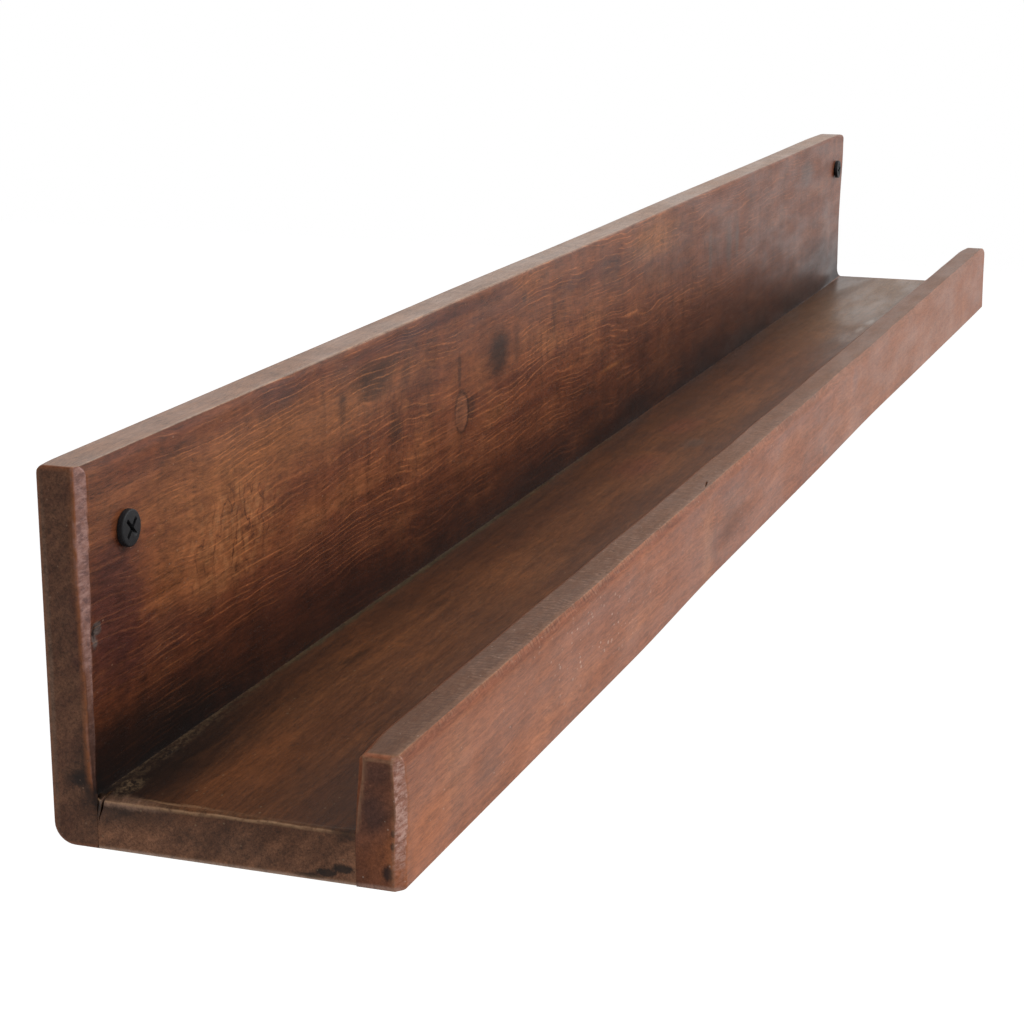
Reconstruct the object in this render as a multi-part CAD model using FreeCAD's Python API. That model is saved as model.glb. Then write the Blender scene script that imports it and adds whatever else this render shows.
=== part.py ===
import FreeCAD, Part
import math
import os

Vector = FreeCAD.Vector

# Wall shelf of three hardwood boards: a tall back board, a ledge and a low front lip.
# +X runs along the shelf, the front faces -Y, +Z is up.
# The back face lies on the plane Y = 0, and the wall screws lie on the line Z = 0.

# Overall sizes of the shelf, in millimetres
shelf_length = 900.0
shelf_depth = 98.0
back_height = 101.5
lip_height = 35.8

# Thickness of each board
back_thickness = 13.0
ledge_thickness = 14.8
lip_thickness = 12.5

# Radii of the eased long edges
back_foot_round = 6.0
back_crown_round = 1.3
front_crown_round = 1.5
lip_inner_round = 2.0
lip_front_round = 1.2
lip_foot_round = 1.2

# Worn corners at both ends of the back board: widest at the top, fading out at the ledge
back_wear_along = 3.5
back_wear_across = 2.6
back_wear_foot = 0.4
back_arris = 0.8

# Worn corners at both ends of the lip and the ledge
lip_bevel_along = 3.4
lip_bevel_across = 2.3
lip_wear_along = 2.2
lip_wear_across = 2.0
lip_wear_foot = 0.3
ledge_bevel_along = 2.4
ledge_bevel_drop = 0.8

# Wall screws: a flat head that stands proud, and a neck thinner than the thread
wall_screw_inset = 22.0
wall_screw_drop = 20.7
wall_screw_reach = 12.0
wall_head_radius = 5.0
wall_head_thickness = 1.7
wall_head_edge = 0.35
wall_cone_radius = 4.2
wall_neck_radius = 1.75
wall_thread_radius = 2.5
wall_thread_start = 1.0
wall_tip_length = 4.5
wall_tip_radius = 0.3
wall_recess_span = 5.0
wall_recess_foot_span = 1.8
wall_recess_width = 1.1
wall_recess_depth = 2.2

# Turn of each wall screw's cross recess, in degrees
wall_recess_turns = {"left": 35.0, "right": 12.0}

# Joint screws: driven from behind through the back board into the ledge
joint_screw_count = 5
joint_screw_inset = 60.0
joint_screw_sink = 1.5
joint_screw_grip = 26.0
joint_head_radius = 4.0
joint_neck_radius = 1.4
joint_thread_radius = 2.0
joint_tip_length = 3.5
joint_tip_radius = 0.25
joint_recess_span = 4.2
joint_recess_foot_span = 1.4
joint_recess_width = 0.9
joint_recess_depth = 1.7

# Turn of each joint screw's cross recess from the one before it, in degrees
joint_recess_step = 31.0

# Dowels: glued blind between the ledge's front edge and the lip
dowel_count = 5
dowel_inset = 90.0
dowel_radius = 3.0
dowel_depth_in_ledge = 12.0
dowel_depth_in_lip = 8.0
dowel_bevel = 0.6

# Clearances
head_clearance = 0.1
thread_clearance = 0.25
pilot_clearance = 0.05
dowel_clearance = 0.05
blind_end_gap = 0.5

# How far cutting tools run past what they cut
overrun = 1.0
wedge_overrun_share = 0.5

# Places worked out from the sizes above
end_x = shelf_length / 2
top_z = wall_screw_drop
bottom_z = top_z - back_height
ledge_top_z = bottom_z + ledge_thickness
ledge_mid_z = (bottom_z + ledge_top_z) / 2
lip_top_z = bottom_z + lip_height
back_front_y = -back_thickness
lip_back_y = lip_thickness - shelf_depth
lip_front_y = -shelf_depth

along_x = Vector(1, 0, 0)
along_y = Vector(0, 1, 0)
along_z = Vector(0, 0, 1)
origin = Vector(0, 0, 0)


# Evenly spaced places along the shelf, mirrored about its middle
def places_along(count, inset):
    first = inset - end_x
    step = (shelf_length - 2 * inset) / max(count - 1, 1)
    return [first + step * index for index in range(count)]


# A closed wire in the plane X = x through corners given as (y, z, radius)
def rounded_outline(x, corners):
    points = [Vector(x, y, z) for y, z, radius in corners]
    starts, ends, arcs = [], [], []
    for index, (y, z, radius) in enumerate(corners):
        corner = points[index]
        back = (points[index - 1] - corner).normalize()
        ahead = (points[(index + 1) % len(points)] - corner).normalize()
        half_turn = math.acos(max(-1, min(1, back.dot(ahead)))) / 2
        run = radius / math.tan(half_turn)
        middle_line = (back + ahead).normalize()
        middle_reach = radius / math.sin(half_turn) - radius
        starts.append(corner + back * run)
        ends.append(corner + ahead * run)
        arcs.append(corner + middle_line * middle_reach if radius else None)
    edges = []
    for index, middle in enumerate(arcs):
        if middle:
            edges.append(Part.Arc(starts[index], middle, ends[index]).toShape())
        edges.append(Part.LineSegment(ends[index], starts[(index + 1) % len(arcs)]).toShape())
    return Part.Wire(edges)


# A board with the same outline all along the shelf
def board(corners):
    outline = rounded_outline(-end_x, corners)
    return Part.Face(outline).extrude(along_x * shelf_length)


# A wedge that takes the corner off an edge: each leg is a vector from the edge into the wood
def corner_wedge(start, end, start_legs, end_legs):
    sections = []
    for corner, (leg_a, leg_b) in ((start, start_legs), (end, end_legs)):
        past = (leg_a - leg_b) * wedge_overrun_share
        outside = (leg_a + leg_b) * wedge_overrun_share
        points = [corner + leg_a + past, corner + leg_b - past, corner - outside]
        sections.append(Part.makePolygon(points + points[:1]))
    return Part.makeLoft(sections, True, True)


# The same wedge at both ends of the shelf, for an upright edge at depth y
def upright_wedges(y, low_z, high_z, inward, low_size, high_size):
    wedges = []
    for side in (-1, 1):
        low_legs = (Vector(-side * low_size[0], 0, 0), Vector(0, inward * low_size[1], 0))
        high_legs = (Vector(-side * high_size[0], 0, 0), Vector(0, inward * high_size[1], 0))
        low = Vector(side * end_x, y, low_z)
        high = Vector(side * end_x, y, high_z)
        wedges.append(corner_wedge(low, high, low_legs, high_legs))
    return wedges


# A solid turned about the line through place along Y, from (radius, depth) points
def turned(place, profile):
    points = [Vector(radius, depth, 0) for radius, depth in profile]
    face = Part.Face(Part.makePolygon(points + points[:1]))
    solid = face.revolve(origin, along_y, 360)
    solid.translate(place)
    return solid


def bore(place, radius, depth):
    return Part.makeCylinder(radius, depth, place, along_y)


# A cross recess with wings that narrow towards the bottom; it opens towards sign * Y
def cross_recess(place, sign, span, foot_span, width, depth, turn):
    tool = None
    rim, foot = span / 2, foot_span / 2
    mouth = rim + (rim - foot) / depth * overrun
    outside, bottom = sign * overrun, -sign * depth
    for quarter in (0, 90):
        outline = [(-mouth, outside), (mouth, outside), (foot, bottom), (-foot, bottom)]
        points = [Vector(x, y, -width / 2) for x, y in outline]
        wing = Part.Face(Part.makePolygon(points + points[:1])).extrude(along_z * width)
        wing.rotate(origin, along_y, turn + quarter)
        tool = wing if tool is None else tool.fuse(wing)
    tool.translate(place)
    return tool


def back_board():
    shape = board([
        (0, bottom_z, back_foot_round),
        (0, top_z, back_crown_round),
        (back_front_y, top_z, front_crown_round),
        (back_front_y, bottom_z, 0),
    ])
    worn = (back_wear_along, back_wear_across)
    faded = (back_wear_foot, back_wear_foot)
    eased = (back_arris, back_arris)
    tools = upright_wedges(back_front_y, ledge_top_z, top_z + overrun, 1, faded, worn)
    tools += upright_wedges(0, bottom_z - overrun, top_z + overrun, -1, eased, eased)
    tools += [wall_screw_hole(x) for x in places_along(len(wall_recess_turns), wall_screw_inset)]
    tools += [joint_screw_hole(x) for x in places_along(joint_screw_count, joint_screw_inset)]
    return shape.cut(tools)


def ledge_board():
    shape = board([
        (back_front_y, bottom_z, 0),
        (back_front_y, ledge_top_z, 0),
        (lip_back_y, ledge_top_z, 0),
        (lip_back_y, bottom_z, 0),
    ])
    tools = []
    for side in (-1, 1):
        legs = (Vector(-side * ledge_bevel_along, 0, 0), Vector(0, 0, -ledge_bevel_drop))
        rear = Vector(side * end_x, back_front_y + overrun, ledge_top_z)
        front = Vector(side * end_x, lip_back_y - overrun, ledge_top_z)
        tools.append(corner_wedge(rear, front, legs, legs))
    for x in places_along(joint_screw_count, joint_screw_inset):
        depth = joint_screw_grip + blind_end_gap
        radius = joint_thread_radius + pilot_clearance
        tools.append(bore(Vector(x, back_front_y - depth, ledge_mid_z), radius, depth + overrun))
    for x in places_along(dowel_count, dowel_inset):
        depth = dowel_depth_in_ledge + blind_end_gap
        place = Vector(x, lip_back_y - overrun, ledge_mid_z)
        tools.append(bore(place, dowel_radius + dowel_clearance, depth + overrun))
    return shape.cut(tools)


def front_lip():
    shape = board([
        (lip_back_y, bottom_z, 0),
        (lip_back_y, lip_top_z, lip_inner_round),
        (lip_front_y, lip_top_z, lip_front_round),
        (lip_front_y, bottom_z, lip_foot_round),
    ])
    bevel = (lip_bevel_along, lip_bevel_across)
    worn = (lip_wear_along, lip_wear_across)
    faded = (lip_wear_foot, lip_wear_foot)
    tools = upright_wedges(lip_front_y, bottom_z - overrun, lip_top_z + overrun, 1, bevel, bevel)
    tools += upright_wedges(lip_back_y, ledge_top_z, lip_top_z + overrun, -1, faded, worn)
    for x in places_along(dowel_count, dowel_inset):
        depth = dowel_depth_in_lip + blind_end_gap
        place = Vector(x, lip_back_y - depth, ledge_mid_z)
        tools.append(bore(place, dowel_radius + dowel_clearance, depth + overrun))
    return shape.cut(tools)


# The hole for a wall screw: a countersink in the front face and room for the thread
def wall_screw_hole(x):
    rim = wall_cone_radius + head_clearance
    neck = wall_thread_radius + thread_clearance
    profile = [
        (0, back_front_y - overrun),
        (rim, back_front_y - overrun),
        (rim, back_front_y),
        (neck, back_front_y + rim - neck),
        (neck, overrun),
        (0, overrun),
    ]
    return turned(Vector(x, 0, 0), profile)


# The hole for a joint screw: a sunk seat in the back face and room for the thread
def joint_screw_hole(x):
    rim = joint_head_radius + head_clearance
    neck = joint_thread_radius + thread_clearance
    seat = -joint_screw_sink
    profile = [
        (0, overrun),
        (rim, overrun),
        (rim, seat),
        (neck, seat - rim + neck),
        (neck, back_front_y - overrun),
        (0, back_front_y - overrun),
    ]
    return turned(Vector(x, 0, ledge_mid_z), profile)


def wall_screw(x, turn):
    face = back_front_y - wall_head_thickness
    tip = wall_screw_reach
    profile = [
        (0, face),
        (wall_head_radius - wall_head_edge, face),
        (wall_head_radius, face + wall_head_edge),
        (wall_head_radius, back_front_y),
        (wall_cone_radius, back_front_y),
        (wall_neck_radius, back_front_y + wall_cone_radius - wall_neck_radius),
        (wall_neck_radius, wall_thread_start),
        (wall_thread_radius, wall_thread_start),
        (wall_thread_radius, tip - wall_tip_length),
        (wall_tip_radius, tip),
        (0, tip),
    ]
    recess = cross_recess(Vector(x, face, 0), -1, wall_recess_span, wall_recess_foot_span,
                          wall_recess_width, wall_recess_depth, turn)
    return turned(Vector(x, 0, 0), profile).cut(recess)


def joint_screw(x, turn):
    face = -joint_screw_sink
    tip = back_front_y - joint_screw_grip
    profile = [
        (0, face),
        (joint_head_radius, face),
        (joint_neck_radius, face - joint_head_radius + joint_neck_radius),
        (joint_neck_radius, back_front_y),
        (joint_thread_radius, back_front_y),
        (joint_thread_radius, tip + joint_tip_length),
        (joint_tip_radius, tip),
        (0, tip),
    ]
    place = Vector(x, 0, ledge_mid_z)
    recess = cross_recess(place + Vector(0, face, 0), 1, joint_recess_span, joint_recess_foot_span,
                          joint_recess_width, joint_recess_depth, turn)
    return turned(place, profile).cut(recess)


def lip_dowel(x):
    rear = lip_back_y + dowel_depth_in_ledge
    front = lip_back_y - dowel_depth_in_lip
    neck = dowel_radius - dowel_bevel
    profile = [
        (0, rear),
        (neck, rear),
        (dowel_radius, rear - dowel_bevel),
        (dowel_radius, front + dowel_bevel),
        (neck, front),
        (0, front),
    ]
    return turned(Vector(x, 0, ledge_mid_z), profile)


def all_pieces():
    pieces = {
        "back_board": back_board(),
        "shelf_board": ledge_board(),
        "front_lip": front_lip(),
    }
    wall_places = places_along(len(wall_recess_turns), wall_screw_inset)
    for x, (side, turn) in zip(wall_places, wall_recess_turns.items()):
        pieces["wall_screw_" + side] = wall_screw(x, turn)
    for index, x in enumerate(places_along(joint_screw_count, joint_screw_inset)):
        pieces["back_joint_screw_%d" % (index + 1)] = joint_screw(x, joint_recess_step * index)
    for index, x in enumerate(places_along(dowel_count, dowel_inset)):
        pieces["lip_dowel_%d" % (index + 1)] = lip_dowel(x)
    return pieces


os.makedirs("parts", exist_ok=True)
for name, shape in all_pieces().items():
    solid = shape.Solids[0] if len(shape.Solids) == 1 else shape
    solid.exportStep("parts/" + name + ".step")
    print(name, "valid" if solid.isValid() else "not valid", len(shape.Solids), round(solid.Volume, 1))
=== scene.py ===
import math
import bmesh
import bpy
from mathutils import Matrix, Vector, noise


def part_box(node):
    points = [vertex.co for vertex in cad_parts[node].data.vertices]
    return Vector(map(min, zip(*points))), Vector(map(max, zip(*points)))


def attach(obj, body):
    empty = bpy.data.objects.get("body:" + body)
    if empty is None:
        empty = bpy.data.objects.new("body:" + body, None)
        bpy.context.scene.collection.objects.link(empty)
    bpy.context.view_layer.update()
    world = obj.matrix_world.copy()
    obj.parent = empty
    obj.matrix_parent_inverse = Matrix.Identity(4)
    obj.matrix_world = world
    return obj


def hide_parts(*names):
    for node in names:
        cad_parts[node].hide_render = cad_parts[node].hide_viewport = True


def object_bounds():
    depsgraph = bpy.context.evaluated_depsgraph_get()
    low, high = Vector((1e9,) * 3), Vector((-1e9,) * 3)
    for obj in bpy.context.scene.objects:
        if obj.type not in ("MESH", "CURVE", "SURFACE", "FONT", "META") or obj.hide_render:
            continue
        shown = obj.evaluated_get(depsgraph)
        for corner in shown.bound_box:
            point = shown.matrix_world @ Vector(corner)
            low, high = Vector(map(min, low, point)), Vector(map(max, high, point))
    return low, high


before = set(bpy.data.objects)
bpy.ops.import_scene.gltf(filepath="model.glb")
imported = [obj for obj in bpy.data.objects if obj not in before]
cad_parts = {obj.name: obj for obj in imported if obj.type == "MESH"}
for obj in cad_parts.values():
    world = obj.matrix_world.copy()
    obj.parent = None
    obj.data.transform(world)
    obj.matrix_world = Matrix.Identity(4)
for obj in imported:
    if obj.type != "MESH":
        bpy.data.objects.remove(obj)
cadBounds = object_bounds()
mm = 0.001
print("frame loaded:", len(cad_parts), "nodes")


# Camera at the photo's angle: the near left end, from above
cameraView = {
    "place": (-0.9591, -0.3100, 0.1606),
    "yaw": 19.77,       # degrees from +X towards +Y
    "pitch": -14.63,
    "roll": -0.12,
    "lens": 84.38,
    "sensor": 36.0,
    "clipNear": 0.01,
    "clipFar": 50.0,
}


def makeCamera(view):
    yaw, pitch, roll = (math.radians(view[key]) for key in ("yaw", "pitch", "roll"))
    ahead = Vector((math.cos(yaw) * math.cos(pitch), math.sin(yaw) * math.cos(pitch), math.sin(pitch)))
    levelRight = ahead.cross(Vector((0, 0, 1))).normalized()
    levelUp = levelRight.cross(ahead)
    right = levelRight * math.cos(roll) + levelUp * math.sin(roll)
    up = levelUp * math.cos(roll) - levelRight * math.sin(roll)
    data = bpy.data.cameras.new("photoCamera")
    data.lens = view["lens"]
    data.sensor_width = view["sensor"]
    data.clip_start = view["clipNear"]
    data.clip_end = view["clipFar"]
    camera = bpy.data.objects.new("photoCamera", data)
    turn = Matrix((right, up, -ahead)).transposed().to_4x4()
    camera.matrix_world = Matrix.Translation(view["place"]) @ turn
    bpy.context.scene.collection.objects.link(camera)
    bpy.context.scene.camera = camera


makeCamera(cameraView)
bpy.context.scene.view_settings.view_transform = "Standard"
print("camera placed")


# Small helpers for nodes and colours
def tone(red, green, blue):
    # a colour as seen on screen, 0 to 255, made linear
    def linear(value):
        share = value / 255
        return share / 12.92 if share <= 0.04045 else ((share + 0.055) / 1.055) ** 2.4
    return (linear(red), linear(green), linear(blue), 1.0)


def addNode(tree, kind, inputs=None, **settings):
    made = tree.nodes.new(kind)
    for key, value in settings.items():
        setattr(made, key, value)
    for key, value in (inputs or {}).items():
        if isinstance(value, bpy.types.NodeSocket):
            tree.links.new(value, made.inputs[key])
        else:
            made.inputs[key].default_value = value
    return made


def math1(tree, operation, first, second=0.0, third=0.0, clamp=False):
    made = addNode(tree, "ShaderNodeMath", {0: first, 1: second, 2: third}, operation=operation)
    made.use_clamp = clamp
    return made.outputs[0]


def times(tree, first, *others):
    for value in others:
        first = math1(tree, "MULTIPLY", first, value)
    return first


def vector1(tree, operation, first, second=(0, 0, 0)):
    made = addNode(tree, "ShaderNodeVectorMath", {0: first, 1: second}, operation=operation)
    return made.outputs[0]


def vectorOf(tree, x=0.0, y=0.0, z=0.0):
    return addNode(tree, "ShaderNodeCombineXYZ", {0: x, 1: y, 2: z}).outputs[0]


def partsOf(tree, vector):
    return addNode(tree, "ShaderNodeSeparateXYZ", {0: vector}).outputs


def ramp(tree, value, low, high, outLow=0.0, outHigh=1.0):
    inputs = {"Value": value, "From Min": low, "From Max": high, "To Min": outLow, "To Max": outHigh}
    return addNode(tree, "ShaderNodeMapRange", inputs, interpolation_type="SMOOTHSTEP").outputs[0]


def blendColour(tree, share, under, over, mode="MIX"):
    made = addNode(tree, "ShaderNodeMix", {0: share, 6: under, 7: over}, data_type="RGBA", blend_type=mode)
    return made.outputs[2]


def tintColour(tree, colour, red, green, blue):
    # multiplies each part of the colour by its own value
    tint = addNode(tree, "ShaderNodeCombineColor", {0: red, 1: green, 2: blue}).outputs[0]
    return blendColour(tree, 1.0, colour, tint, "MULTIPLY")


def noiseAt(tree, place, scale, detail=3.0, rough=0.55, distort=0.0):
    # the scale has one number for each axis
    inputs = {"Vector": vector1(tree, "MULTIPLY", place, scale), "Scale": 1.0, "Detail": detail,
              "Roughness": rough, "Distortion": distort}
    return addNode(tree, "ShaderNodeTexNoise", inputs, noise_dimensions="3D").outputs[0]


def placeInMillimetres(tree, corner=(0.0, 0.0, 0.0)):
    place = vector1(tree, "SUBTRACT", addNode(tree, "ShaderNodeTexCoord").outputs["Object"], corner)
    place = vector1(tree, "SCALE", place)
    place.node.inputs["Scale"].default_value = 1 / mm
    return place


def newGroup(name, inputs, outputs):
    # an input's default is a float, or three numbers for a vector
    group = bpy.data.node_groups.new(name, "ShaderNodeTree")
    for key, default in inputs.items():
        kind = "NodeSocketFloat" if isinstance(default, float) else "NodeSocketVector"
        group.interface.new_socket(key, in_out="INPUT", socket_type=kind).default_value = default
    for key in outputs:
        group.interface.new_socket(key, in_out="OUTPUT", socket_type="NodeSocketFloat")
    return group, addNode(group, "NodeGroupInput").outputs, addNode(group, "NodeGroupOutput").inputs


def useGroup(tree, group, inputs):
    return addNode(tree, "ShaderNodeGroup", inputs, node_tree=group).outputs


def newMaterial(name):
    material = bpy.data.materials.new(name)
    material.use_nodes = True
    tree = material.node_tree
    return material, tree, tree.nodes["Principled BSDF"]


# Long wood grain, read in millimetres: broad bands, thin bright threads, fibres, pores and curl.
# A noise is (scale along, scale across, detail, roughness), an edge is what ramp takes.
grainNoise = {
    "swell": (0.007, 0.02, 2.0, 0.55), "wave": (0.035, 0.07, 2.0, 0.55), "quiver": (0.22, 0.3, 1.0, 0.55),
    "finite": (0.022, 0.5, 3.0, 0.68), "zone": (0.012, 0.06, 3.0, 0.55), "frayed": (0.8, 1.6, 2.0, 0.7),
    "fibres": (0.04, 0.6, 5.0, 0.85), "pores": (0.4, 3.6, 1.0, 0.55), "poreZone": (0.05, 0.2, 2.0, 0.55),
    "grit": (0.25, 1.6, 4.0, 0.85), "curl": (0.1, 0.017, 3.0, 0.6),
}
grainEdges = {
    "lines": (0.2, 0.03), "finite": (0.41, 0.59), "zone": (0.4, 0.56), "frayed": (0.3, 0.6, 0.3, 1.0),
    "pores": (0.63, 0.72), "poreZone": (0.42, 0.6),
}
grainShape = {
    "waveBend": 2.4, "quiverBend": 0.4, "threadAcross": (0, 0.4, 1), "slowAcross": 0.05, "slowTurns": 8.0,
    "bandAcross": 0.15, "bandDetail": 5.0, "bandRough": 0.62, "curlDistort": 0.4,
}


def makeGrainGroup():
    group, given, made = newGroup(
        "longGrain", {"Vector": (0, 0, 0), "Length": 220.0, "Spacing": 2.4, "Bend": 12.0, "Offset": 0.0},
        ["Bands", "Threads", "Fibres", "Pores", "Grit", "Curl"])
    moved = vector1(group, "ADD", given["Vector"], vectorOf(group, given["Offset"]))

    def noiseOf(vector, key, distort=0.0):
        along, across, detail, rough = grainNoise[key]
        return noiseAt(group, vector, (along, across, across), detail, rough, distort)

    def maskOf(vector, key):
        return ramp(group, noiseOf(vector, key), *grainEdges[key])

    def swayOf(key):
        return math1(group, "SUBTRACT", noiseOf(moved, key), 0.5)

    shift = times(group, swayOf("swell"), given["Bend"])
    shift = math1(group, "MULTIPLY_ADD", swayOf("wave"), grainShape["waveBend"], shift)
    shift = math1(group, "MULTIPLY_ADD", swayOf("quiver"), grainShape["quiverBend"], shift)
    bent = vector1(group, "ADD", moved, vectorOf(group, 0.0, shift, shift))
    lengthwise = math1(group, "DIVIDE", 1.0, given["Length"])

    # threads are thin lines that wander, fray and end
    slowScale = vectorOf(group, lengthwise, grainShape["slowAcross"], grainShape["slowAcross"])
    across = addNode(group, "ShaderNodeVectorMath", {0: bent, 1: grainShape["threadAcross"]},
                     operation="DOT_PRODUCT")
    turns = math1(group, "DIVIDE", across.outputs["Value"], given["Spacing"])
    turns = math1(group, "MULTIPLY_ADD", noiseAt(group, bent, slowScale), grainShape["slowTurns"], turns)
    lines = ramp(group, math1(group, "PINGPONG", turns, 0.5), *grainEdges["lines"])
    threads = times(group, lines, maskOf(bent, "finite"), maskOf(bent, "zone"), maskOf(moved, "frayed"))

    bandScale = vectorOf(group, lengthwise, grainShape["bandAcross"], grainShape["bandAcross"])
    results = {
        "Bands": noiseAt(group, bent, bandScale, grainShape["bandDetail"], grainShape["bandRough"]),
        "Threads": threads,
        "Fibres": noiseOf(bent, "fibres"),
        "Pores": times(group, maskOf(bent, "pores"), maskOf(bent, "poreZone")),
        "Grit": noiseOf(bent, "grit"),
        "Curl": noiseOf(moved, "curl", grainShape["curlDistort"]),
    }
    for key, value in results.items():
        group.links.new(value, made[key])
    return group


# A soft patch with a ragged edge: a knot, a stain, a rubbed or dark place
patchShape = {"rippleScale": (0.13, 0.33, 0.33), "rippleDetail": 5.0, "rippleRough": 0.68, "rippleDepth": 4.0}


def makePatchGroup():
    group, given, made = newGroup(
        "softPatch",
        {"Vector": (0, 0, 0), "Centre": (0, 0, 0), "Reach": (10, 10, 10), "Edge": 0.5, "Ragged": 0.3},
        ["Mask"])
    away = vector1(group, "SUBTRACT", given["Vector"], given["Centre"])
    share = vector1(group, "DIVIDE", away, given["Reach"])
    distance = addNode(group, "ShaderNodeVectorMath", {0: share}, operation="LENGTH").outputs["Value"]
    ripples = noiseAt(group, given["Vector"], patchShape["rippleScale"], patchShape["rippleDetail"],
                      patchShape["rippleRough"])
    ripples = times(group, math1(group, "SUBTRACT", ripples, 0.5), given["Ragged"], patchShape["rippleDepth"])
    inner = math1(group, "SUBTRACT", 1.0, given["Edge"])
    outer = math1(group, "ADD", 1.0, given["Edge"])
    group.links.new(ramp(group, math1(group, "ADD", distance, ripples), outer, inner), made["Mask"])
    return group


# Tiny pale or dark specks of dust and grit
def makeSpeckGroup():
    group, given, made = newGroup(
        "fineSpecks", {"Vector": (0, 0, 0), "Spacing": 2.5, "Size": 0.12, "Stretch": 1.0}, ["Mask"])
    squeeze = vectorOf(group, math1(group, "DIVIDE", 1.0, given["Stretch"]), 1.0, 1.0)
    cell = vector1(group, "MULTIPLY", given["Vector"], squeeze)
    scale = math1(group, "DIVIDE", 1.0, given["Spacing"])
    spots = addNode(group, "ShaderNodeTexVoronoi", {"Vector": cell, "Scale": scale}).outputs
    chance = addNode(group, "ShaderNodeSeparateColor", {0: spots["Color"]}).outputs[0]
    size = times(group, given["Size"], chance)
    group.links.new(math1(group, "LESS_THAN", spots["Distance"], size), made["Mask"])
    return group


longGrain = makeGrainGroup()
softPatch = makePatchGroup()
fineSpecks = makeSpeckGroup()
print("shared finishes made")


# Old waxed hardwood, the same for all three boards apart from their looks.
# A noise is (scale, detail, roughness), an edge is what ramp takes, with places in millimetres.
woodNoise = {
    "cloud": ((0.016, 0.05, 0.05), 5.0, 0.62), "speckle": ((0.6, 1.0, 1.0), 6.0, 0.8),
    "rings": ((0.05, 0.16, 0.1), 6.0, 0.74), "wander": ((0.09, 0.1, 0.06), 3.0, 0.6),
    "streak": ((0.35, 0.35, 0.15), 4.0, 0.75), "breakup": ((0.6, 0.6, 0.6), 4.0, 0.65),
    "uneven": ((0.02, 0.08, 0.08), 4.0, 0.6),
}
woodEdges = {
    "bands": (0.3, 0.7), "light": (0.48, 0.72, 0.0), "deep": (0.45, 0.28, 0.0), "endFace": (0.75, 0.95),
    "rings": (0.24, 0.76), "endPores": (0.5, 0.68, 0.0, 0.5), "endFlecks": (0.42, 0.28, 0.0, 0.45),
    "dusty": (0.46, 0.56), "topFace": (0.93, 0.985), "topFar": (40.0, 380.0), "edgeFace": (0.6, 0.9),
    "edgeFar": (300.0, 620.0, 1.0, 0.2), "edgeBreaks": (0.36, 0.5, 0.3, 1.0),
    "sawPale": (0.1, 0.34), "sawPaleBreaks": (0.4, 0.62),
    "sawDark": (0.13, 0.0), "sawDarkBreaks": (0.35, 0.55),
    "far": (420.0, 860.0, 1.0), "fibres": (0.32, 0.68), "fine": (0.3, 0.7), "nearEnd": (15.0, 60.0),
    "chamferDeep": (0.4, 0.62), "chamferPale": (0.42, 0.66, 0.0, 0.75),
    "chamferBreaks": (0.25, 0.5, 0.75, 0.95),
    "rubBreaks": (0.3, 0.55, 0.3, 1.0), "uneven": (0.3, 0.7),
}
woodShape = {
    "topShare": 0.93, "topStreaks": 0.5, "topEdgeSoft": 0.5,
    "sawAcross": 14, "sawEdge": 0.7, "sawRagged": 0.6, "sawWander": 4.5,
    "threadGlow": (2.15, 1.9, 1.65, 1.0), "threadTint": 0.45, "ridgeDetail": 5.0, "ridgeRough": 0.72,
    "shadowGreen": 1.12, "shadowBlue": 1.22, "shadowFacing": 0.7, "shadowTurned": 0.3,
    "fibreHeight": 0.5, "breakupHeight": 0.35, "bumpDepth": 0.12 * mm,
}
specks = {"Spacing": 2.4, "Size": 0.24, "Stretch": 1.6}
dustSpecks = {"Spacing": 2.6, "Size": 0.11, "Stretch": 1.6}


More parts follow.
